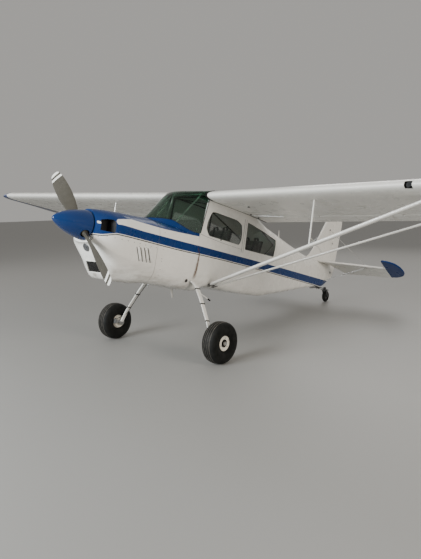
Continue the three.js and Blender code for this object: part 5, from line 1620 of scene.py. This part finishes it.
place(joined(*darkTubes), "cabin_tubes", blackSteel, ["cabin_frame"])
paleTubes = [rod((300, 1705, 806), (-300, 1705, 806), thin, 16)]
for _, side in bothSides:
    top = (side * 300, 1705, 806)
    paleTubes += [rod(top, (side * 324, front, 798), thin, 16), rod(top, (side * 212, 1305, 246), thick, 18),
                  turned([(24, -2), (24, 3), (14, 8), (0.0, 8)], (side * 212, 1305, 244), upward, 20)]
place(joined(*paleTubes), "windscreen_braces", braceCream, ["cabin_frame"])
ball = turned([(0.0, -14), (10, -10), (13, 0), (10, 10), (0.0, 14)], (-322, 2186, 116), upward, 20)
lever = joined(rod((-334, 2230, 60), (-322, 2190, 110), 5, 12), ball)
place(mirrored(lever, -1), "throttle_lever", blackSteel)
print("cabin fitted")

# Wheels' fittings, brake lines and the step
for name, side in bothSides:
    hub, axis = Vector((side * mainWheel["x"], mainWheel["aft"], mainWheel["up"])), toLeft * side
    body = f"main_wheel_{name}"

    # Places round the wheel: along its axle, out from it, at a turn
    def onWheel(along, radius, turns):
        return [hub + axis * along + Vector((0, cos(turn), sin(turn))) * radius for turn in turns]

    thirds, sixths = [radians(90 + 120 * k) for k in range(3)], [radians(30 + 60 * k) for k in range(6)]
    cap = turned([(26, 40), (26, 90), (23, 96), (16, 98.5), (0.0, 99)], hub, axis, 36)
    nuts = repeated([(8, 0), (8, 7), (6, 9), (0.0, 9)], onWheel(72, 70, thirds), axis, 6)
    studs = repeated([(3.6, 0), (3.6, 5), (0.0, 6)], onWheel(80, 70, thirds), axis, 12)
    place(joined(cap, *nuts, *studs), f"wheel_cap_{name}", brightSteel, body=body)
    # The hub's recess is lined with a black dish and black bolt heads: painted shade inside the recess.
    dish = [(52.5, 74), (53, 60), (50, 47), (27, 47), (27, 49), (48, 49), (51, 60), (51, 74)]
    small = repeated([(4, 0), (4, 3), (0.0, 3.6)], onWheel(60, 38, sixths), axis, 6)
    place(joined(turned(dish, hub, axis, 60, True), *small), f"wheel_recess_{name}", blackAndShadow, body=body)
    valve = rod(onWheel(66, 88, [0.6])[0], onWheel(94, 90, [0.6])[0], 4, 12, 3)
    place(valve, f"tyre_valve_{name}", blackRubber, body=body)

    # the brake line runs down the leg's rear edge, held by three clamps
    line = [Vector((side * (x - 12), legAft(x) + wide * 0.22, up - (16 if x < 460 else 8)))
            for x, up, wide, thick in legStations[1:]]
    line = [line[0] + upward * 26, *line[:-1], Vector((side * 905, 1655, -1098)),
            Vector((side * 938, 1584, -1142))]
    place(tube(line, 4, 10, smooth=2), f"brake_line_{name}", blackRubber)
    bands = []
    for x in (520, 655, 790):
        up, wide, thick = through(legStations, x)
        slope = Vector((5, 0, through(legStations, x + 5)[0] - up)).normalized()
        axes, spot = [slope, toRear, slope.cross(toRear)], Vector((x, legAft(x), up))
        band, core = [turnedBox(spot, axes, size) for size in ((16, wide + 4, thick + 4),
                                                               (40, wide - 1, thick - 1))]
        bands.append(mirrored(carve(band, core), side))
    place(joined(*bands), f"leg_clamps_{name}", blackRubber)
    spots = [(side * 976, 1576, mainWheel["up"] + dz) for dz in (-20, 20)]
    pin = turned([(6, 0), (6, 10), (4, 12), (0.0, 12)], (side * 950, 1576, mainWheel["up"] + 34), upward, 14)
    brake = repeated([(7, 0), (7, 6), (5, 8), (0.0, 8)], spots, axis, 6)
    place(joined(*brake, pin), f"caliper_bolts_{name}", darkSteel)
    bolt = [(24, -2), (24, 3), (15, 5), (9, 6), (9, 16), (0.0, 16)]
    place(turned(bolt, *onSkin(noseRows, 1580, -440, side, 2), 24), f"leg_cover_bolt_{name}", darkSteel)
step = tube([(505, 1690, -530), (516, 1700, -562), (512, 1800, -596), (500, 1990, -655)], 8, 14, smooth=2)
place(step, "step_rod", whitePaint)
place(tube([(503, 1938, -639), (499, 2002, -659)], 11, 16), "step_grip", blackRubber)

# Tail fittings
leaves = loft([[(x, aft, up + z) for x, z in ((-22, 0), (22, 0), (22, -thick), (-22, -thick))]
               for aft, up, thick in ((5600, -74, 12), (5760, -46, 12), (5960, -43, 11))])
bolts = [rod((x, 5900, -66), (x, 5900, -18), 5, 10) for x in (-24, 24)]
place(joined(leaves, boxOf((-30, 30), (5884, 5916), (-56, -24)), *bolts), "tail_spring_leaves", blackSteel)
light = turned([(15, 0), (15, 8), (13, 16), (7, 24), (0.0, 27)], tailTable["light"], toRear, 28)
place(light, "tail_light", redLens, body="rudder")
foot = turned([(18, -10), (18, 1), (15, 2), (0.0, 2)], tailTable["light"], toRear, 28)
place(foot, "tail_light_foot", whitePaint, body="rudder")
for name, side in bothSides:
    horn = joined(turnedBox((side * 17, 6262, 330), [toLeft, toRear, upward], (8, 90, 40)),
                  rod((side * 13, 6290, 330), (side * 34, 6290, 330), 5, 12))
    place(horn, f"rudder_horn_{name}", steel, body="rudder")
print("wheels and tail fitted")

# Finishes of the nodes that stay
staying = {
    "propeller_hub": steel, "engine_block": engineMetal, "firewall": steel, "instrument_panel": panelBlack,
    "stick_front": blackSteel, "stick_rear": blackSteel, "tail_spring": blackSteel, "tail_fork": blackSteel,
    "tailwheel_hub": blackSteel, "tailwheel_tyre": tyreRubber,
}
for part, finish in (("flap", wingWhite), ("aileron", wingWhite), ("jury_strut", whitePaint), ("axle", steel),
                     ("brace_wires", brightSteel)):
    staying.update({f"{part}_{name}": finish for name, _ in bothSides})


# Rounds off how the stayed nodes are shaded, without touching their meshes
def softShading():
    group = bpy.data.node_groups.new("soft_shading", "GeometryNodeTree")
    for way in ("INPUT", "OUTPUT"):
        group.interface.new_socket("Geometry", in_out=way, socket_type="NodeSocketGeometry")
    start, end, merge, drop, angle, flatter, smooth, sharp = [group.nodes.new(kind) for kind in (
        "NodeGroupInput", "NodeGroupOutput", "GeometryNodeMergeByDistance", "GeometryNodeRemoveAttribute",
        "GeometryNodeInputMeshEdgeAngle", "FunctionNodeCompare", "GeometryNodeSetShadeSmooth",
        "GeometryNodeSetShadeSmooth")]
    sharp.domain = "EDGE"
    merge.inputs["Distance"].default_value = 1e-5
    drop.inputs["Name"].default_value = "custom_normal"
    flatter.operation = "LESS_THAN"
    flatter.inputs[1].default_value = radians(36)
    for source, target in zip((start, merge, drop, smooth, sharp), (merge, drop, smooth, sharp, end)):
        group.links.new(source.outputs[0], target.inputs[0])
    group.links.new(angle.outputs["Unsigned Angle"], flatter.inputs[0])
    group.links.new(flatter.outputs[0], sharp.inputs["Shade Smooth"])
    return group


shading = softShading()
for name, finish in staying.items():
    for holder in nodes[name].material_slots:
        holder.material = finish.material
    if not nodes[name].hide_render:
        nodes[name].modifiers.new("soft_shading", "NODES").node_group = shading
print("stayed nodes finished")

# Floor, lamps and sky
studio = {
    "floor": 60, "floorColour": (0.29, 0.285, 0.272), "sky": (1.0, 0.975, 0.93, 1), "skyStrength": 0.40,
    "lamps": [
        # name, place, aims at, size, watts, colour
        ("key_lamp", (-1, -13, 4.6), (0, -2, 1.2), 5, 2100, (0.92, 0.97, 1.0)),
        ("side_lamp", (12, -2, 4.2), (0, 0, 1), 5, 1000, (1.0, 0.93, 0.85)),
        ("fill_lamp", (-11, -3, 6), (0, -1, 1), 7, 220, (1.0, 0.97, 0.94)),
        ("back_lamp", (-3, 12, 9), (0, 0, 1), 8, 560, (1.0, 0.985, 0.96)),
    ],
}
corners = [(x * studio["floor"], y * studio["floor"], 0) for x, y in ((-1, -1), (1, -1), (1, 1), (-1, 1))]
floorMesh = meshFrom(corners, [(0, 1, 2, 3)])
floor = bpy.data.objects.new("floor", floorMesh)
bpy.context.scene.collection.objects.link(floor)
floorFinish = Finish("floor_finish", "floor", 0.5, Base_Color=studio["floorColour"])
floorMesh.materials.append(floorFinish.material)
for name, spot, aim, size, watts, colour in studio["lamps"]:
    lamp = bpy.data.objects.new(name, bpy.data.lights.new(name, "AREA"))
    lamp.data.shape, lamp.data.size, lamp.data.energy, lamp.data.color = "SQUARE", size, watts, colour
    lamp.location = spot
    lamp.visible_camera = False
    lamp.visible_glossy = name != "side_lamp"  # its mirror image would whiten the windscreen
    lamp.rotation_mode = "QUATERNION"
    lamp.rotation_quaternion = (Vector(aim) - Vector(spot)).to_track_quat("-Z", "Y")
    bpy.context.scene.collection.objects.link(lamp)
world = bpy.data.worlds.new("world")
bpy.context.scene.world = world
world.use_nodes = True
world.node_tree.nodes["Background"].inputs["Color"].default_value = studio["sky"]
world.node_tree.nodes["Background"].inputs["Strength"].default_value = studio["skyStrength"]
print("floor and light set")
